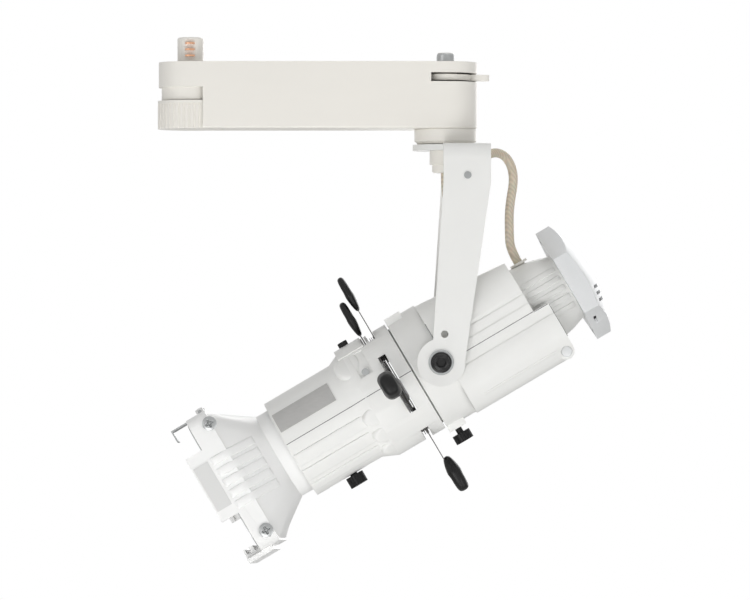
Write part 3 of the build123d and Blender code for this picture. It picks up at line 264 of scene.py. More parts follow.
def enamel(name, colour, roughness):
    """Stoved enamel: faint orange peel, and a little unevenness in colour and gloss."""
    finish = Finish(name, colour, roughness, Coat_Weight=0.15, Coat_Roughness=0.25)
    cloud = finish.noise(45.0, 4.0)
    finish.tint(cloud, shade(colour, 0.965), shade(colour, 1.02))
    peel = finish.noise(1500.0, 2.0)
    pits = finish.noise(5200.0, 1.0)
    finish.set("Roughness", roughness - 0.06 + 0.12 * cloud + 0.05 * pits)
    finish.bump(peel * 0.7 + pits * 0.3, 0.12, 0.00012)
    return finish.material


def moulded(name, colour, roughness, grain, depth, gloss=0.5):
    """Moulded plastic, and other skins like it: fine grain and faint flow marks."""
    finish = Finish(name, colour, roughness, Specular_IOR_Level=gloss)
    flow = finish.noise(30.0, 3.0, (0.3, 1.0, 1.0))
    finish.tint(flow, shade(colour, 0.95), shade(colour, 1.03))
    spark = finish.noise(grain, 2.0)
    finish.set("Roughness", roughness - 0.05 + 0.14 * spark)
    finish.bump(spark, depth, 0.0001)
    return finish.material


def satin(name, colour, roughness):
    """Satin metallic paint: small bright flakes under a thin coat."""
    finish = Finish(name, colour, roughness, Metallic=0.25, Coat_Weight=0.2, Coat_Roughness=0.3)
    flakes = finish.noise(9000.0, 1.0)
    cloud = finish.noise(60.0, 3.0)
    finish.tint(flakes * 0.6 + cloud * 0.4, shade(colour, 0.9), shade(colour, 1.08))
    finish.set("Roughness", roughness - 0.08 + 0.16 * cloud)
    finish.bump(flakes, 0.06, 0.00005)
    return finish.material


def rolled_metal(name, colour, roughness, stretch, metallic=1.0):
    """Rolled or drawn metal: fine straight scratches along the piece."""
    finish = Finish(name, colour, roughness, Metallic=metallic)
    lines = finish.noise(900.0, 3.0, stretch)
    smudge = finish.noise(70.0, 3.0)
    finish.tint(lines * 0.5 + smudge * 0.5, shade(colour, 0.82), shade(colour, 1.12))
    finish.set("Roughness", roughness - 0.1 + 0.2 * smudge)
    finish.bump(lines, 0.06, 0.00003)
    return finish.material


def clear_glass(name):
    """Polished optical glass with a faint haze of dust."""
    finish = Finish(name, (0.93, 0.96, 0.97), 0.02, Transmission_Weight=1.0, IOR=1.5)
    dust = finish.noise(400.0, 3.0)
    finish.set("Roughness", 0.01 + 0.05 * dust**3.0)
    return finish.material


def sleeve(name, colour):
    """Heat-proof sleeve: braided ribs seen through a thin silicone skin."""
    finish = Finish(name, colour, 0.5, Subsurface_Weight=0.25, Subsurface_Scale=0.002)
    strands = finish.node(
        "ShaderNodeTexWave", {"wave_type": "BANDS", "bands_direction": "DIAGONAL"},
        Vector=finish.place, Scale=260.0, Distortion=1.5, Detail=2.0, output="Fac")
    smear = finish.noise(160.0, 3.0)
    finish.tint(strands * 0.45 + smear * 0.55, shade(colour, 0.78), shade(colour, 1.22))
    finish.set("Roughness", 0.4 + 0.2 * smear)
    finish.bump(strands, 0.35, 0.0001)
    return finish.material


def reflector_coat(name):
    """Dichroic mirror with small facets, seen inside the lamp house."""
    finish = Finish(name, (0.86, 0.87, 0.9), 0.08, Metallic=1.0)
    facets = finish.node("ShaderNodeTexVoronoi", {}, Vector=finish.place, Scale=420.0, output="Distance")
    finish.set("Roughness", 0.05 + 0.1 * facets)
    finish.bump(facets, 0.5, 0.0003)
    return finish.material


MATERIALS = {}


def make_materials(colours):
    """One material for each of the record's slots, and a darker steel for the blades."""
    MATERIALS.update({
        "white_enamel": enamel("white_enamel", tuple(colours.enamel), 0.42),
        "white_gloss": enamel("white_gloss", tuple(colours.holder), 0.36),
        "cream_plastic": moulded("cream_plastic", tuple(colours.adapter), 0.36, 2600.0, 0.1),
        "silver_grey": satin("silver_grey", tuple(colours.cap), 0.45),
        "black_plastic": moulded("black_plastic", tuple(colours.grips), 0.36, 900.0, 0.03, 0.25),
        "black_steel": moulded("black_steel", (0.010, 0.010, 0.010), 0.2, 1500.0, 0.03, 0.4),
        "blade_steel": rolled_metal("blade_steel", (0.13, 0.125, 0.12), 0.42, (1.0, 1.0, 0.1)),
        "steel": rolled_metal("steel", (0.42, 0.43, 0.43), 0.34, (1.0, 0.08, 1.0)),
        "copper": rolled_metal("copper", (0.80, 0.45, 0.28), 0.3, (1.0, 0.1, 1.0)),
        "glass": clear_glass("glass"),
        "mirror_glass": reflector_coat("mirror_glass"),
        "ceramic": moulded("ceramic", (0.82, 0.79, 0.72), 0.7, 1400.0, 0.3),
        "grey_label": rolled_metal("grey_label", (0.47, 0.465, 0.455), 0.55, (0.1, 1.0, 1.0), 0.2),
        "pale_label": moulded("pale_label", (0.73, 0.73, 0.72), 0.5, 1600.0, 0.05),
        "lead_sleeve": sleeve("lead_sleeve", tuple(colours.sleeve)),
        # also lent to the dark strips of painted shadow in the seams and down the shell's back edge
        "dark_board": moulded("dark_board", (0.06, 0.065, 0.07), 0.5, 1100.0, 0.2),
    })


SLOT_OF = {part["node"]: part["material_slot"] for part in frame["record"]["subparts"]}
BODY_OF = {node: body for body, nodes in frame["record"]["behaviour"]["bodies"].items() for node in nodes}


# ---------------------------------------------------------------- mesh helpers

CAD_WELD = 2e-6
GRID_WELD = 1e-7
FLAT_ANGLE = 0.5
SLIVER_AREA = 1e-9
CASTING_ANGLE = 32.0
GRID_ANGLE = 35.0
EDGE_SEGMENTS = 2


def paint(piece, material):
    """Gives a piece one material, by its name."""
    piece.data.materials.clear()
    piece.data.materials.append(MATERIALS[material])


def finished(piece, node, slot=None):
    """Links a new piece, paints it, rides it on the node's body and names its slot."""
    bpy.context.scene.collection.objects.link(piece)
    slot = slot or SLOT_OF[node]
    paint(piece, slot)
    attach(piece, BODY_OF[node])
    return piece


def smooth(mesh, degrees):
    """Smooth shading that breaks at edges sharper than the given angle."""
    mesh.shade_smooth()
    mesh.set_sharp_from_angle(angle=math.radians(degrees))


def vertex_array(mesh):
    """The mesh's vertices as rows of x, y and z."""
    places = np.zeros(len(mesh.vertices) * 3)
    mesh.vertices.foreach_get("co", places)
    return places.reshape(-1, 3)


def around(count):
    """Angles round a full turn, as one row."""
    return np.linspace(0, 2 * math.pi, count, endpoint=False)[None, :]


def rounded_casting(node, width):
    """A CAD node's own surface, merged and given rounded edges; it stands for that node."""
    mesh = NODES[node].data.copy()
    mesh.name = node + "_rounded"
    edit = bmesh.new()
    edit.from_mesh(mesh)
    bmesh.ops.remove_doubles(edit, verts=edit.verts, dist=CAD_WELD)
    bmesh.ops.dissolve_limit(
        edit, angle_limit=math.radians(FLAT_ANGLE), verts=edit.verts, edges=edit.edges,
        delimit={"NORMAL"})
    edit.to_mesh(mesh)
    edit.free()
    piece = bpy.data.objects.new(node + "_rounded", mesh)
    finished(piece, node)
    bevel = piece.modifiers.new("rounded edges", "BEVEL")
    bevel.width = width
    bevel.segments = EDGE_SEGMENTS
    bevel.limit_method = "ANGLE"
    bevel.angle_limit = math.radians(CASTING_ANGLE)
    bevel.use_clamp_overlap = True
    bevel.miter_outer = "MITER_ARC"
    smooth(mesh, CASTING_ANGLE)
    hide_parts(node)
    return piece


def grid_mesh(name, points, ends=True):
    """An unlinked object over a grid of points, rows along it and columns round it, ends closed."""
    rows, columns = points.shape[:2]
    index = np.arange(rows * columns).reshape(rows, columns)
    beside = np.roll(index, -1, axis=1)
    quads = np.stack([index[:-1], beside[:-1], beside[1:], index[1:]], axis=-1).reshape(-1, 4)
    faces = quads.tolist()
    if ends:
        faces.append(index[0][::-1].tolist())
        faces.append(index[-1].tolist())
    mesh = bpy.data.meshes.new(name)
    mesh.from_pydata(points.reshape(-1, 3).tolist(), [], faces)
    edit = bmesh.new()
    edit.from_mesh(mesh)
    bmesh.ops.remove_doubles(edit, verts=edit.verts, dist=GRID_WELD)
    bmesh.ops.recalc_face_normals(edit, faces=edit.faces)
    edit.to_mesh(mesh)
    edit.free()
    smooth(mesh, GRID_ANGLE)
    return bpy.data.objects.new(name, mesh)


def corner_arrays(node, basis, side):
    """The node's triangles as (along, height, outward) in millimetres, outward to one side."""
    mesh = NODES[node].data
    mesh.calc_loop_triangles()
    index = np.zeros(len(mesh.loop_triangles) * 3, dtype=np.int32)
    mesh.loop_triangles.foreach_get("vertices", index)
    offset = (vertex_array(mesh) - PIVOT) / MM
    axes = np.stack([FORWARD, basis.up, basis.far * side], axis=1)
    return (offset @ axes)[index].reshape(-1, 3, 3)


def skin(nodes, basis, along, height, side):
    """How far out the nodes reach at each (along, height): the outermost of the triangles that
    cover the point, from its barycentric coordinates in all of them at once."""
    corners = np.concatenate([corner_arrays(node, basis, side) for node in nodes])
    flat_along, flat_height = along.ravel(), height.ravel()
    low, high = corners.min(axis=1), corners.max(axis=1)
    near = (high[:, 0] > flat_along.min()) & (low[:, 0] < flat_along.max())
    near &= (high[:, 1] > flat_height.min()) & (low[:, 1] < flat_height.max()) & (high[:, 2] > 0)
    a, b, c = np.moveaxis(corners[near], 1, 0)
    ab, ac = b - a, c - a
    area = ab[:, 0] * ac[:, 1] - ab[:, 1] * ac[:, 0]
    solid = np.abs(area) > SLIVER_AREA
    a, ab, ac, area = a[solid], ab[solid], ac[solid], area[solid]
    du = flat_along[:, None] - a[None, :, 0]
    dv = flat_height[:, None] - a[None, :, 1]
    first = (du * ac[:, 1] - dv * ac[:, 0]) / area
    second = (dv * ab[:, 0] - du * ab[:, 1]) / area
    inside = (first >= 0) & (second >= 0) & (first + second <= 1)
    reach = a[:, 2] + first * ab[:, 2] + second * ac[:, 2]
    outer = np.where(inside, reach, -np.inf).max(axis=1)
    missed = ~np.isfinite(outer)
    places = np.arange(len(outer))
    outer[missed] = np.interp(places[missed], places[~missed], outer[~missed])
    return outer.reshape(along.shape)


RIB_ROWS = 40
RIB_CROWN_POINTS = 13
RIB_FOOT = 0.5
RIB_EDGE_SINK = 0.02


def rib(name, nodes, basis, side, start, end, half_width, rise, power=2.0, ease=0):
    """A rib on the side of the nodes, between two points given as (along, height).

    Its section is the superellipse |t|^p + |h|^p = 1 above their surface and a flat foot sunk
    in it. The rise falls to nothing at both ends as (1 - |2s - 1|^10)^(1/2). The surface under
    it is averaged along the rib over ease rows on each side, so it crosses an edge softly."""
    start, end = np.array(start, dtype=float), np.array(end, dtype=float)
    run = unit(end - start)
    s = np.linspace(0.0, 1.0, RIB_ROWS)[:, None]
    top = np.linspace(-1.0, 1.0, RIB_CROWN_POINTS)
    t = np.concatenate([top, [1.0, -1.0]])[None, :]
    crown = np.concatenate([(1 - np.abs(top) ** power) ** (1 / power), [0.0, 0.0]])
    foot = np.concatenate([np.zeros(RIB_CROWN_POINTS), [RIB_FOOT, RIB_FOOT]])
    sunk = foot + np.where(crown == 0, RIB_EDGE_SINK, 0.0)
    along = start[0] + (end - start)[0] * s - run[1] * half_width * t
    height = start[1] + (end - start)[1] * s + run[0] * half_width * t
    swell = np.sqrt(np.clip(1 - np.abs(2 * s - 1) ** 10, 0, 1))
    lift = rise * swell * crown - sunk
    surface = skin(nodes, basis, along, height, side)
    surface = np.pad(surface, ((ease, ease), (0, 0)), mode="edge")
    surface = np.lib.stride_tricks.sliding_window_view(surface, 2 * ease + 1, axis=0).mean(axis=-1)
    return grid_mesh(name, basis.place(along, height, (surface + lift) * side))


def joined(name, pieces):
    """One object made of several unlinked ones."""
    edit = bmesh.new()
    for piece in pieces:
        edit.from_mesh(piece.data)
    mesh = bpy.data.meshes.new(name)
    edit.to_mesh(mesh)
    edit.free()
    smooth(mesh, GRID_ANGLE)
    return bpy.data.objects.new(name, mesh)


# ---------------------------------------------------------------- operators


class SPOTLIGHT_OT_finishes(bpy.types.Operator):
    """Makes the materials and gives every CAD node its own"""

    bl_idname = "spotlight.finishes"
    bl_label = "Finishes"

    def execute(self, context):
        make_materials(context.scene.spotlight_colours)
        for node, piece in NODES.items():
            paint(piece, "blade_steel" if node in BLADES else SLOT_OF[node])
        return {"FINISHED"}


# steel in the record, and darkened by the heat of the beam
BLADES = (
    "gate_plates", "shutter_top_blade", "shutter_bottom_blade", "shutter_far_blade",
    "shutter_near_blade", "pattern_holder",
)
CASTINGS = (
    "adapter_housing", "swivel_collar", "yoke", "front_ring", "upper_cover", "lower_shell",
    "rear_neck", "rear_cap", "barrel_upper", "barrel_lower", "lens_tube",
)
SMALL_PIECES = (
    "adapter_lid", "contact_tower", "lock_lever", "swivel_bush", "swivel_nut", "tilt_washers",
    "cross_pin", "cable_grommet", "slot_cover", "front_holder",
)


class SPOTLIGHT_OT_castings(bpy.types.Operator):
    """Rounds the edges of the castings and of the small hard pieces"""

    bl_idname = "spotlight.castings"
    bl_label = "Castings"

    def execute(self, context):
        sizes = context.scene.spotlight_sizes
        for node in CASTINGS:
            rounded_casting(node, sizes.casting_edge)
        for node in SMALL_PIECES:
            rounded_casting(node, sizes.sheet_edge)
        return {"FINISHED"}


# control points in the frame, in millimetres: out of the bush, round inside the yoke, over
# behind its arms and into the grommet
LEAD_ROUTE = (
    (0.0, 0.0, -57.3), (0.0, 0.0, -72.5), (5.75, -13.5, -81.5), (11.5, -27.0, -74.0),
    (12.3, -25.0, -57.5), (22.5, -12.0, -46.5), (31.5, -3.0, -47.8), (36.2, 0.0, -58.5),
    (33.2, 0.0, -75.0), (33.2, 0.0, -88.0), (33.706, 0.0, -96.899), (37.778, 0.0, -103.785),
)
LEAD_COLUMNS = 24
ROUTE_RESOLUTION = 12


def smooth_route(points):
    """Points on the NURBS curve of order three whose control points are the route's."""
    curve = bpy.data.curves.new("route", "CURVE")
    curve.dimensions = "3D"
    curve.resolution_u = ROUTE_RESOLUTION
    spline = curve.splines.new("NURBS")
    spline.points.add(len(points) - 1)
    for point, place in zip(spline.points, points):
        point.co = (*(MM * part for part in place), 1.0)
    spline.order_u = 3
    spline.use_endpoint_u = True
    holder = bpy.data.objects.new("route", curve)
    route = vertex_array(bpy.data.meshes.new_from_object(holder))
    bpy.data.objects.remove(holder)
    return route


class SPOTLIGHT_OT_lead(bpy.types.Operator):
    """Makes the lamp lead: a round section carried along its smooth route"""

    bl_idname = "spotlight.lead"
    bl_label = "Lamp lead"

    def execute(self, context):
        sizes = context.scene.spotlight_sizes
        route = smooth_route(LEAD_ROUTE)
        ahead = np.gradient(route, axis=0)
        ahead /= np.linalg.norm(ahead, axis=1, keepdims=True)
        # the reference direction is never along the route, so the section never flips
        first = np.cross(ahead, (1.0, -0.6, 0.0))
        first /= np.linalg.norm(first, axis=1, keepdims=True)
        second = np.cross(ahead, first)
        angle = around(LEAD_COLUMNS)[..., None]
        outward = np.cos(angle) * first[:, None] + np.sin(angle) * second[:, None]
        points = route[:, None] + outward * sizes.lead_diameter / 2
        piece = grid_mesh("lamp_lead_sleeve", points)
        context.scene.collection.objects.link(piece)
        paint(piece, "lead_sleeve")
        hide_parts("lamp_lead")
        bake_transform(piece)
        return {"FINISHED"}


class SPOTLIGHT_OT_grips(bpy.types.Operator):
    """Makes the four shutter grips and the pattern holder's: leaf-shaped paddles"""

    bl_idname = "spotlight.grips"
    bl_label = "Grips"

    def execute(self, context):
        for node in ("shutter_top", "shutter_bottom", "shutter_far", "shutter_near", "pattern"):
            make_grip(node + "_handle", JOINTS[node + "_slide"])
        return {"FINISHED"}


GRIP_SWELL = 1.22
GRIP_POWER = 2.6
GRIP_END_POWER = 16
GRIP_LEAF = ((0.0, 0.42), (0.2, 0.72), (0.45, 1.0), (0.7, 0.93), (1.0, 0.66))
HOLLOW_DEPTH = 0.3
HOLLOW_PLACE = 0.6
HOLLOW_LENGTH = 0.16
HOLLOW_WIDTH = 0.45


def make_grip(node, joint):
    """A paddle in the box of its CAD node, from root to tip.

    It stands GRIP_SWELL times as thick as the node. Both half-sizes grow from 0.42 of the full
    one at the root to the full one just short of halfway and fall to 0.66 at the tip, and close
    at both ends as (1 - |2s - 1|^16)^(1/2). The section is the superellipse of power 2.6, with a
    shallow finger hollow on each broad face."""
    outward = -unit(joint["axis"]) if node.startswith("shutter") else unit(joint["axis"])
    across = unit(np.cross(FORWARD, outward))
    axes = np.stack([outward, across, FORWARD], axis=1)
    corners = vertex_array(NODES[node].data) @ axes
    low, high = corners.min(axis=0), corners.max(axis=0)
    middle, half = (low + high) / 2, (high - low) / 2
    s = (1 - np.cos(np.linspace(0, math.pi, 49)))[:, None] / 2
    angle = around(48)
    leaf = np.interp(s, *zip(*GRIP_LEAF))
    close = np.sqrt(np.clip(1 - np.abs(2 * s - 1) ** GRIP_END_POWER, 0, 1))
    cosine, sine = np.cos(angle), np.sin(angle)
    broad = np.sign(cosine) * np.abs(cosine) ** (2 / GRIP_POWER)
    thick = np.sign(sine) * np.abs(sine) ** (2 / GRIP_POWER)
    dip = ((s - HOLLOW_PLACE) / HOLLOW_LENGTH) ** 2 + (broad / HOLLOW_WIDTH) ** 2
    hollow = 1 - HOLLOW_DEPTH * np.exp(-dip)
    points = np.stack(np.broadcast_arrays(
        low[0] + (high[0] - low[0]) * s,
        middle[1] + half[1] * leaf * close * broad,
        middle[2] + half[2] * GRIP_SWELL * leaf * close * thick * hollow,
    ), axis=-1)
    piece = grid_mesh(node + "_grip", points @ axes.T)
    finished(piece, node)
    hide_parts(node)


SLEEVE_RADIUS = 27.4
# the heights of each pad's two edges, and each lobe's middle and half width in degrees
PAD_EDGES = ((-4.6, -11.6), (-13.4, -19.6), (-21.2, -25.0))
LOBES = ((-17.0, 11.0), (-39.0, 11.0), (-61.0, 11.0), (47.0, 21.0))
PAD_ENDS = (49.0, 89.7)
PAD_RISE = 1.05
PAD_SINK = 0.1
PAD_FOOT = -0.6
SHOULDER_RADIUS = 31.2
SHOULDER_FRONT = 42.6
LOBE_REACH = 7.5
LOBE_SINK = 0.4
LOBE_STEP_DOWN = 0.02
LOBE_POWER = 8


class SPOTLIGHT_OT_barrel_ribs(bpy.types.Operator):
    """Makes the broad low ribs along the barrel and the scallops that end its shoulder"""

    bl_idname = "spotlight.barrel_ribs"
    bl_label = "Barrel ribs"

    def execute(self, context):
        pieces = []
        for side in SIDES:
            for edges in PAD_EDGES:
                pieces.append(barrel_pad(side, [math.asin(height / SLEEVE_RADIUS) for height in edges]))
            for middle, half in LOBES:
                pieces.append(shoulder_lobe(side, math.radians(middle), math.radians(half)))
        finished(joined("barrel_ribs", pieces), "barrel_lower")
        return {"FINISHED"}


def barrel_pad(side, angles):
    """A pad on the barrel: its radius stands up by PAD_RISE times the superellipse of power
    four across it, and its foot lies inside the wall."""
    t = np.linspace(-1, 1, 25)
    section = np.concatenate([(1 - t**4) ** (1 / 4), [PAD_FOOT, PAD_FOOT]])[None, :]
    angle = np.concatenate([t, [1.0, -1.0]])[None, :] * (angles[1] - angles[0]) / 2
    angle = angle + (angles[0] + angles[1]) / 2
    along = np.linspace(*PAD_ENDS, 12)[:, None]
    radius = SLEEVE_RADIUS - PAD_SINK + (PAD_RISE + PAD_SINK) * section
    return grid_mesh("pad", BARREL.place(along, radius * np.sin(angle), side * radius * np.cos(angle)))


def shoulder_lobe(side, middle, half_angle):
    """A flat-topped dome on the barrel, a hair below the shoulder at its middle: the radius
    goes as sqrt(1 - rho^8) over a disc in the place along the axis and the angle round it."""
    foot, top = SLEEVE_RADIUS - LOBE_SINK, SHOULDER_RADIUS - LOBE_STEP_DOWN
    rho = np.sin(np.linspace(0, math.pi / 2, 28))[:, None]
    turn = around(56)
    along = SHOULDER_FRONT + LOBE_REACH * rho * np.cos(turn)
    angle = middle + half_angle * rho * np.sin(turn)
    radius = foot + (top - foot) * np.sqrt(1 - rho**LOBE_POWER) + 0 * turn
    return grid_mesh("lobe", BARREL.place(along, radius * np.sin(angle), side * radius * np.cos(angle)))


NECK_RIB_HEIGHTS = (11.4, 6.2, 1.0, -4.2, -9.4)
NECK_RIB_ENDS = (-55.0, -75.2)
NECK_RIB = {"half_width": 1.5, "rise": 0.75, "power": 3.0}
SHELL_BEAD_ENDS = ((-10.0, -25.6), (-57.0, -25.6))
SHELL_BEAD = {"half_width": 0.7, "rise": 0.45}
HOLDER_RIB_HEIGHTS = (13.0, 6.6, 0.5, -5.8, -12.2)
HOLDER_RIB_ENDS = (103.0, 127.0)
HOLDER_RIB = {"half_width": 2.3, "rise": 1.3, "power": 2.4, "ease": 4}


class SPOTLIGHT_OT_house_ribs(bpy.types.Operator):
    """Makes the cooling ribs on the neck and the bead along the lower shell"""

    bl_idname = "spotlight.house_ribs"
    bl_label = "House ribs"

    def execute(self, context):
        neck, beads = [], []
        for side in SIDES:
            for height in NECK_RIB_HEIGHTS:
                ends = [(along, height) for along in NECK_RIB_ENDS]
                neck.append(rib("rib", ["rear_neck"], HEAD, side, *ends, **NECK_RIB))
            beads.append(rib("bead", ["lower_shell"], HEAD, side, *SHELL_BEAD_ENDS, **SHELL_BEAD))
        finished(joined("neck_ribs", neck), "rear_neck")
        finished(joined("shell_beads", beads), "lower_shell")
        return {"FINISHED"}


class SPOTLIGHT_OT_holder_ribs(bpy.types.Operator):
    """Makes the rounded ribs along both sides of the front holder"""

    bl_idname = "spotlight.holder_ribs"
    bl_label = "Holder ribs"

    def execute(self, context):
        ribs = []
        for side in SIDES:
            for height in HOLDER_RIB_HEIGHTS:
                ends = [(along, height) for along in HOLDER_RIB_ENDS]
                ribs.append(rib("rib", ["front_holder"], BARREL, side, *ends, **HOLDER_RIB))
        finished(joined("holder_ribs", ribs), "front_holder")
        return {"FINISHED"}


# dark strips of painted shadow, standing for the shade in the gaps where the castings meet
SEAMS = (
    # the node whose body it rides on, the nodes that it lies on, the directions, and its two ends
    ("barrel_upper", ("barrel_upper", "barrel_lower"), BARREL, (15.4, 1.85), (22.4, 1.85)),
    ("barrel_upper", ("barrel_upper", "barrel_lower"), BARREL, (27.0, 1.85), (89.8, 1.85)),
    ("upper_cover", ("upper_cover", "lower_shell"), HEAD, (-3.2, -1.7), (-53.8, -1.7)),
    ("upper_cover", ("upper_cover", "front_ring"), HEAD, (-2.9, -1.7), (-2.9, 21.0)),
    ("lower_shell", ("lower_shell",), HEAD, (-54.0, -2.1), (-62.5, -2.1)),
)
# the section of each strip of painted shadow
SEAM_SHADOW_STRIP = {"half_width": 0.17, "rise": 0.05, "power": 4.0}


class SPOTLIGHT_OT_seams(bpy.types.Operator):
    """Makes dark strips of painted shadow in the gaps where the castings meet"""

    bl_idname = "spotlight.seams"
    bl_label = "Seams"

    def execute(self, context):
        for number, (node, nodes, basis, start, end) in enumerate(SEAMS):
            lines = [rib("painted_shadow_seam", nodes, basis, side, start, end, **SEAM_SHADOW_STRIP) for side in SIDES]
            # the dark board's material is lent to these strips of painted shadow
            finished(joined(f"seam_{number}", lines), node, slot="dark_board")
        # strips of painted shadow down the back edges of the lower shell, in the dark board's material
        backs = [shell_back_shadow(side) for side in SIDES]
        finished(joined("shell_back_painted_shadow", backs), "lower_shell", slot="dark_board")
        return {"FINISHED"}


SHELL_BACK = -62.65
# the strip of painted shadow down the shell's back edge: its heights, inset, half width and half depth
SHADOW_STRIP_HEIGHTS = (-2.6, -21.5)
SHADOW_STRIP_INSET = 0.75
SHADOW_STRIP_HALF_WIDTH = 0.6
SHADOW_STRIP_HALF_DEPTH = 0.3
# how far ahead of the back edge the side of the shell is measured
PROBE_AHEAD = 0.25


def shell_back_shadow(side):
    """A dark strip of painted shadow down the back edge of the lower shell, where the gap behind it
    lies in shade: an ellipse carried straight down, its middle set in from the shell's side by the strip's inset."""
    height = np.linspace(*SHADOW_STRIP_HEIGHTS, 14)[:, None]
    turn = around(16)
    edge = skin(["lower_shell"], HEAD, np.full_like(height, SHELL_BACK + PROBE_AHEAD), height, side)
    outward = edge - SHADOW_STRIP_INSET + SHADOW_STRIP_HALF_WIDTH * np.sin(turn)
    along = SHELL_BACK + SHADOW_STRIP_HALF_DEPTH * np.cos(turn)
    return grid_mesh("gap", HEAD.place(along, height, outward * side))


HOLDER_SCREWS = ((117.8, 30.8), (120.4, -30.9))


class SPOTLIGHT_OT_screws(bpy.types.Operator):
    """Makes the cross-head screws that hold the front holder together"""

    bl_idname = "spotlight.screws"
    bl_label = "Holder screws"

    def execute(self, context):
        screws = [cross_head(*place, side) for place in HOLDER_SCREWS for side in SIDES]
        piece = finished(joined("holder_cross_heads", screws), "holder_screws")
        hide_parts("holder_screws")
        return {"FINISHED"}


SCREW_RADIUS = 3.7
SCREW_RISE = 1.25
SCREW_FALL = 0.45
# the heights of the rim and of the foot under it, and the foot's share of the radius
SCREW_RIM = 0.2
SCREW_FOOT = -0.6
SCREW_FOOT_SHARE = 0.92
CROSS_HALF_WIDTH = 0.42
CROSS_REACH = 2.0
CROSS_DEPTH = 1.0
CROSS_SIDE_STEEPNESS = 14
CROSS_END_STEEPNESS = 10


def cross_head(place, height, side):
    """A raised head with a cross recess.

    Out from the middle the head falls as the fourth power of the radius and turns down at its
    rim. The recess is cut where the lesser of |x| and |y| is under the slot's half width and
    the greater is under its reach, with its walls smoothed by a logistic step."""
    rho = np.concatenate([np.linspace(0, 1, 40), [1.0, SCREW_FOOT_SHARE]])[:, None]
    turn = around(96)
    x, y = SCREW_RADIUS * rho * np.cos(turn), SCREW_RADIUS * rho * np.sin(turn)
    least, most = np.minimum(np.abs(x), np.abs(y)), np.maximum(np.abs(x), np.abs(y))
    wall = 1 + np.exp((least - CROSS_HALF_WIDTH) * CROSS_SIDE_STEEPNESS)
    end = 1 + np.exp((most - CROSS_REACH) * CROSS_END_STEEPNESS)
    crown = SCREW_RISE - SCREW_FALL * rho**4 - CROSS_DEPTH / wall / end + 0 * turn
    crown[-2:] = [[SCREW_RIM], [SCREW_FOOT]]
    top = skin(["holder_screws"], BARREL, np.array([[place]]), np.array([[height]]), side)
    return grid_mesh("screw", BARREL.place(place + x, height + y, (top - SCREW_RISE + crown) * side))


class SPOTLIGHT_OT_bolts(bpy.types.Operator):
    """Makes the socket-head bolts that hold the yoke's tilt"""

    bl_idname = "spotlight.bolts"
    bl_label = "Tilt bolts"

    def execute(self, context):
        heads = [socket_head(side) for side in SIDES]
        piece = finished(joined("tilt_socket_heads", heads), "tilt_bolts")
        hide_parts("tilt_bolts")
        return {"FINISHED"}


BOLT_OUTLINE = np.array([
    # radius, height over the washer
    (0.0, 3.4), (1.4, 3.4), (2.2, 3.4), (2.6, 3.4), (3.0, 3.4), (3.3, 3.28), (3.5, 3.38), (3.9, 3.3),
    (4.2, 3.0), (4.3, 2.6), (4.32, 1.9), (4.6, 1.5), (5.0, 1.45), (5.3, 1.25), (5.4, 0.9), (5.4, 0.0),
])
SOCKET_HALF_WIDTH = 2.15
SOCKET_DEPTH = 2.2
SOCKET_STEEPNESS = 16


def socket_head(side):
    """A flanged cap screw: a turned outline of radius and height, with a hexagonal socket.

    The socket's wall is where the radius passes half the width across flats over the cosine of
    the angle from the nearest flat's middle, smoothed by a logistic step."""
    knots = np.linspace(0, 1, len(BOLT_OUTLINE))
    fine = np.linspace(0, 1, 120)
    radius = np.interp(fine, knots, BOLT_OUTLINE[:, 0])[:, None]
    height = np.interp(fine, knots, BOLT_OUTLINE[:, 1])[:, None]
    turn = around(96)
    sector = (turn + math.pi / 6) % (math.pi / 3) - math.pi / 6
    socket = SOCKET_HALF_WIDTH / np.cos(sector)
    height = height - SOCKET_DEPTH / (1 + np.exp((radius - socket) * SOCKET_STEEPNESS))
    low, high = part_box("tilt_washers")
    seat = (high[1] - low[1]) / 2 / MM
    points = HEAD.place(radius * np.cos(turn), radius * np.sin(turn), (seat + height) * side)
    return grid_mesh("bolt", points)


PLATE_FACES = (128.02, 128.65)
PLATE_REACH = (32.4, 36.4)
PLATE_POWER = 9


class SPOTLIGHT_OT_front_plate(bpy.types.Operator):
    """Makes the thin steel plate that keeps the front lens in its holder"""

    bl_idname = "spotlight.front_plate"
    bl_label = "Front plate"

    def execute(self, context):
        turn = around(128)
        # a square with round corners: the radius of |x|^p + |y|^p = 1
        powers = np.abs(np.cos(turn)) ** PLATE_POWER + np.abs(np.sin(turn)) ** PLATE_POWER
        square = powers ** (-1 / PLATE_POWER)
        faces = np.repeat(PLATE_FACES, 2)[:, None]
        reach = np.array([*PLATE_REACH, *PLATE_REACH[::-1]])[:, None] * square
        points = BARREL.place(faces + 0 * turn, reach * np.sin(turn), reach * np.cos(turn))
        closed = np.concatenate([points, points[:1]])
        finished(grid_mesh("front_plate", closed, ends=False), "clip_pin", slot="steel")
        return {"FINISHED"}


class SPOTLIGHT_OT_stage(bpy.types.Operator):
    """Makes the floor, the lights, the world and the camera"""

    bl_idname = "spotlight.stage"
    bl_label = "Stage"

    def execute(self, context):
        make_floor()
        make_lights(context)
        make_world(context)
        make_camera(context)
        return {"FINISHED"}


FLOOR_DROP = 1.2
FLOOR_REACH = 12.0
# distances from the light between which the floor goes from paint to plain white
FLOOR_FADE = (1.45, 2.2)
CENTRE = (np.array(CAD_BOX[0]) + np.array(CAD_BOX[1])) / 2


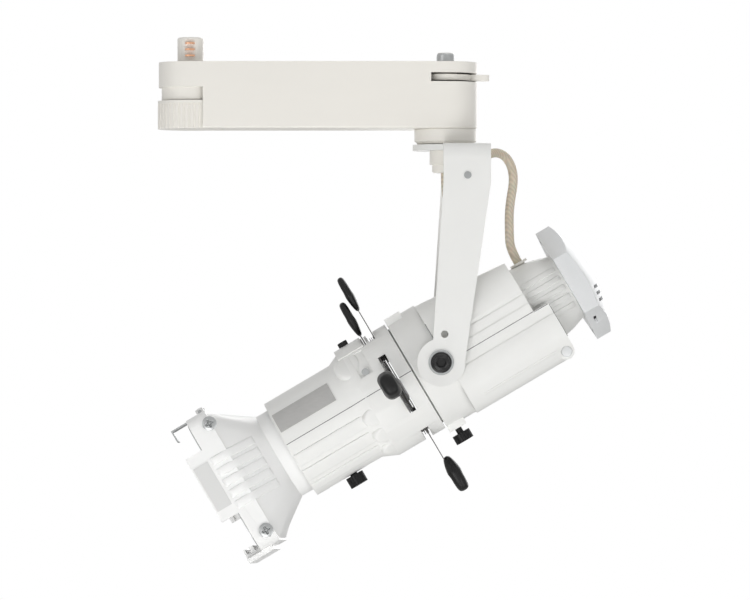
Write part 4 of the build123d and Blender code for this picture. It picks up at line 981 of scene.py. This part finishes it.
def make_floor():
    """A pale floor under the light, white to the camera further off."""
    low = CAD_BOX[0][2] - FLOOR_DROP
    mesh = bpy.data.meshes.new("floor")
    corners = [(-1, -1), (1, -1), (1, 1), (-1, 1)]
    mesh.from_pydata([(x * FLOOR_REACH, y * FLOOR_REACH, low) for x, y in corners], [], [(0, 1, 2, 3)])
    floor = bpy.data.objects.new("floor", mesh)
    bpy.context.scene.collection.objects.link(floor)
    finish = Finish("floor", (0.86, 0.86, 0.85), 0.9)
    away = finish.node(
        "ShaderNodeVectorMath", {"operation": "DISTANCE"}, finish.place, tuple(CENTRE), output="Value")
    ramp = finish.node("ShaderNodeMapRange", {}, away, *FLOOR_FADE, 0.0, 1.0)
    seen = finish.node("ShaderNodeLightPath", {}, output="Is Camera Ray")
    glow = finish.node("ShaderNodeEmission", {}, Color=(1.0, 1.0, 1.0), Strength=1.0)
    painted = Value(finish, finish.shader.outputs[0])
    mixed = finish.node("ShaderNodeMixShader", {}, seen * ramp, painted, glow)
    finish.feed(finish.tree.nodes["Material Output"].inputs["Surface"], mixed)
    floor.data.materials.append(finish.material)


LIGHTS = (
    # name, place, width, watts
    ("key_low_front", (-0.4, -1.5, -0.95), 1.0, 11.5),
    ("fill_front_left", (-1.6, -1.3, -0.2), 1.0, 3.5),
    ("fill_low_right", (1.0, -1.4, -0.8), 1.0, 7.0),
    ("top_soft", (0.2, -0.2, 1.3), 1.4, 6.0),
    ("rim_back", (0.5, 1.5, 0.2), 1.2, 9.0),
)
# how bright the world is to each kind of ray, and to all the rest
WORLD_SHARES = (("Is Camera Ray", 1.0), ("Is Glossy Ray", 0.85), ("Is Transmission Ray", 1.0))
WORLD_DIFFUSE = 0.4


def make_lights(context):
    """Soft square lamps, aimed at the middle of the object."""
    for name, place, width, watts in LIGHTS:
        data = bpy.data.lights.new(name, "AREA")
        data.size = width
        data.energy = watts
        lamp = bpy.data.objects.new(name, data)
        lamp.location = place
        lamp.rotation_euler = Vector(CENTRE - np.array(place)).to_track_quat("-Z", "Y").to_euler()
        context.scene.collection.objects.link(lamp)


def make_world(context):
    """An even white world: its strength starts at WORLD_DIFFUSE, and each kind of ray adds the
    rest of its own share."""
    world = bpy.data.worlds.new("studio")
    context.scene.world = world
    world.use_nodes = True
    tree = world.node_tree
    back = tree.nodes["Background"]
    back.inputs["Color"].default_value = (1.0, 1.0, 1.0, 1.0)
    path = tree.nodes.new("ShaderNodeLightPath")
    strength = None
    for kind, share in WORLD_SHARES:
        step = tree.nodes.new("ShaderNodeMath")
        step.operation = "MULTIPLY_ADD"
        tree.links.new(path.outputs[kind], step.inputs[0])
        step.inputs[1].default_value = share - WORLD_DIFFUSE
        if strength is None:
            step.inputs[2].default_value = WORLD_DIFFUSE
        else:
            tree.links.new(strength, step.inputs[2])
        strength = step.outputs[0]
    tree.links.new(strength, back.inputs["Strength"])


SENSOR_WIDTH = 36.0
CAMERA_DISTANCE = 2.1
FRAME_WIDTH = 0.39
VIEW_CENTRE = (-0.0366, -0.1233)


def make_camera(context):
    """A long lens, level and square to the track, and the plain view transform."""
    data = bpy.data.cameras.new("camera")
    data.sensor_width = SENSOR_WIDTH
    data.lens = SENSOR_WIDTH * CAMERA_DISTANCE / FRAME_WIDTH
    data.clip_end = 50.0
    camera = bpy.data.objects.new("camera", data)
    camera.location = (VIEW_CENTRE[0], -CAMERA_DISTANCE, VIEW_CENTRE[1])
    camera.rotation_euler = (math.pi / 2, 0.0, 0.0)
    context.scene.collection.objects.link(camera)
    context.scene.camera = camera
    context.scene.view_settings.view_transform = "Standard"


class SPOTLIGHT_PT_panel(bpy.types.Panel):
    """Lists the spotlight's operators in the sidebar"""

    bl_label = "Spotlight"
    bl_idname = "SPOTLIGHT_PT_panel"
    bl_space_type = "VIEW_3D"
    bl_region_type = "UI"
    bl_category = "Spotlight"

    def draw(self, context):
        for step in STEPS:
            self.layout.operator(step.bl_idname)
        self.layout.prop(context.scene.spotlight_sizes, "casting_edge")
        self.layout.prop(context.scene.spotlight_colours, "enamel")


STEPS = (
    SPOTLIGHT_OT_finishes,
    SPOTLIGHT_OT_stage,
    SPOTLIGHT_OT_lead,
    SPOTLIGHT_OT_castings,
    SPOTLIGHT_OT_grips,
    SPOTLIGHT_OT_barrel_ribs,
    SPOTLIGHT_OT_house_ribs,
    SPOTLIGHT_OT_holder_ribs,
    SPOTLIGHT_OT_seams,
    SPOTLIGHT_OT_screws,
    SPOTLIGHT_OT_bolts,
    SPOTLIGHT_OT_front_plate,
)
CLASSES = (SpotlightSizes, SpotlightColours, *STEPS, SPOTLIGHT_PT_panel)


def register():
    """Registers the classes and gives the scene its two groups of settings."""
    for cls in CLASSES:
        bpy.utils.register_class(cls)
    bpy.types.Scene.spotlight_sizes = bpy.props.PointerProperty(type=SpotlightSizes)
    bpy.types.Scene.spotlight_colours = bpy.props.PointerProperty(type=SpotlightColours)


def unregister():
    """Takes back what register did."""
    del bpy.types.Scene.spotlight_colours
    del bpy.types.Scene.spotlight_sizes
    for cls in reversed(CLASSES):
        bpy.utils.unregister_class(cls)


def main():
    register()
    for step in STEPS:
        group, name = step.bl_idname.split(".")
        getattr(getattr(bpy.ops, group), name)()


if __name__ == "__main__":
    main()
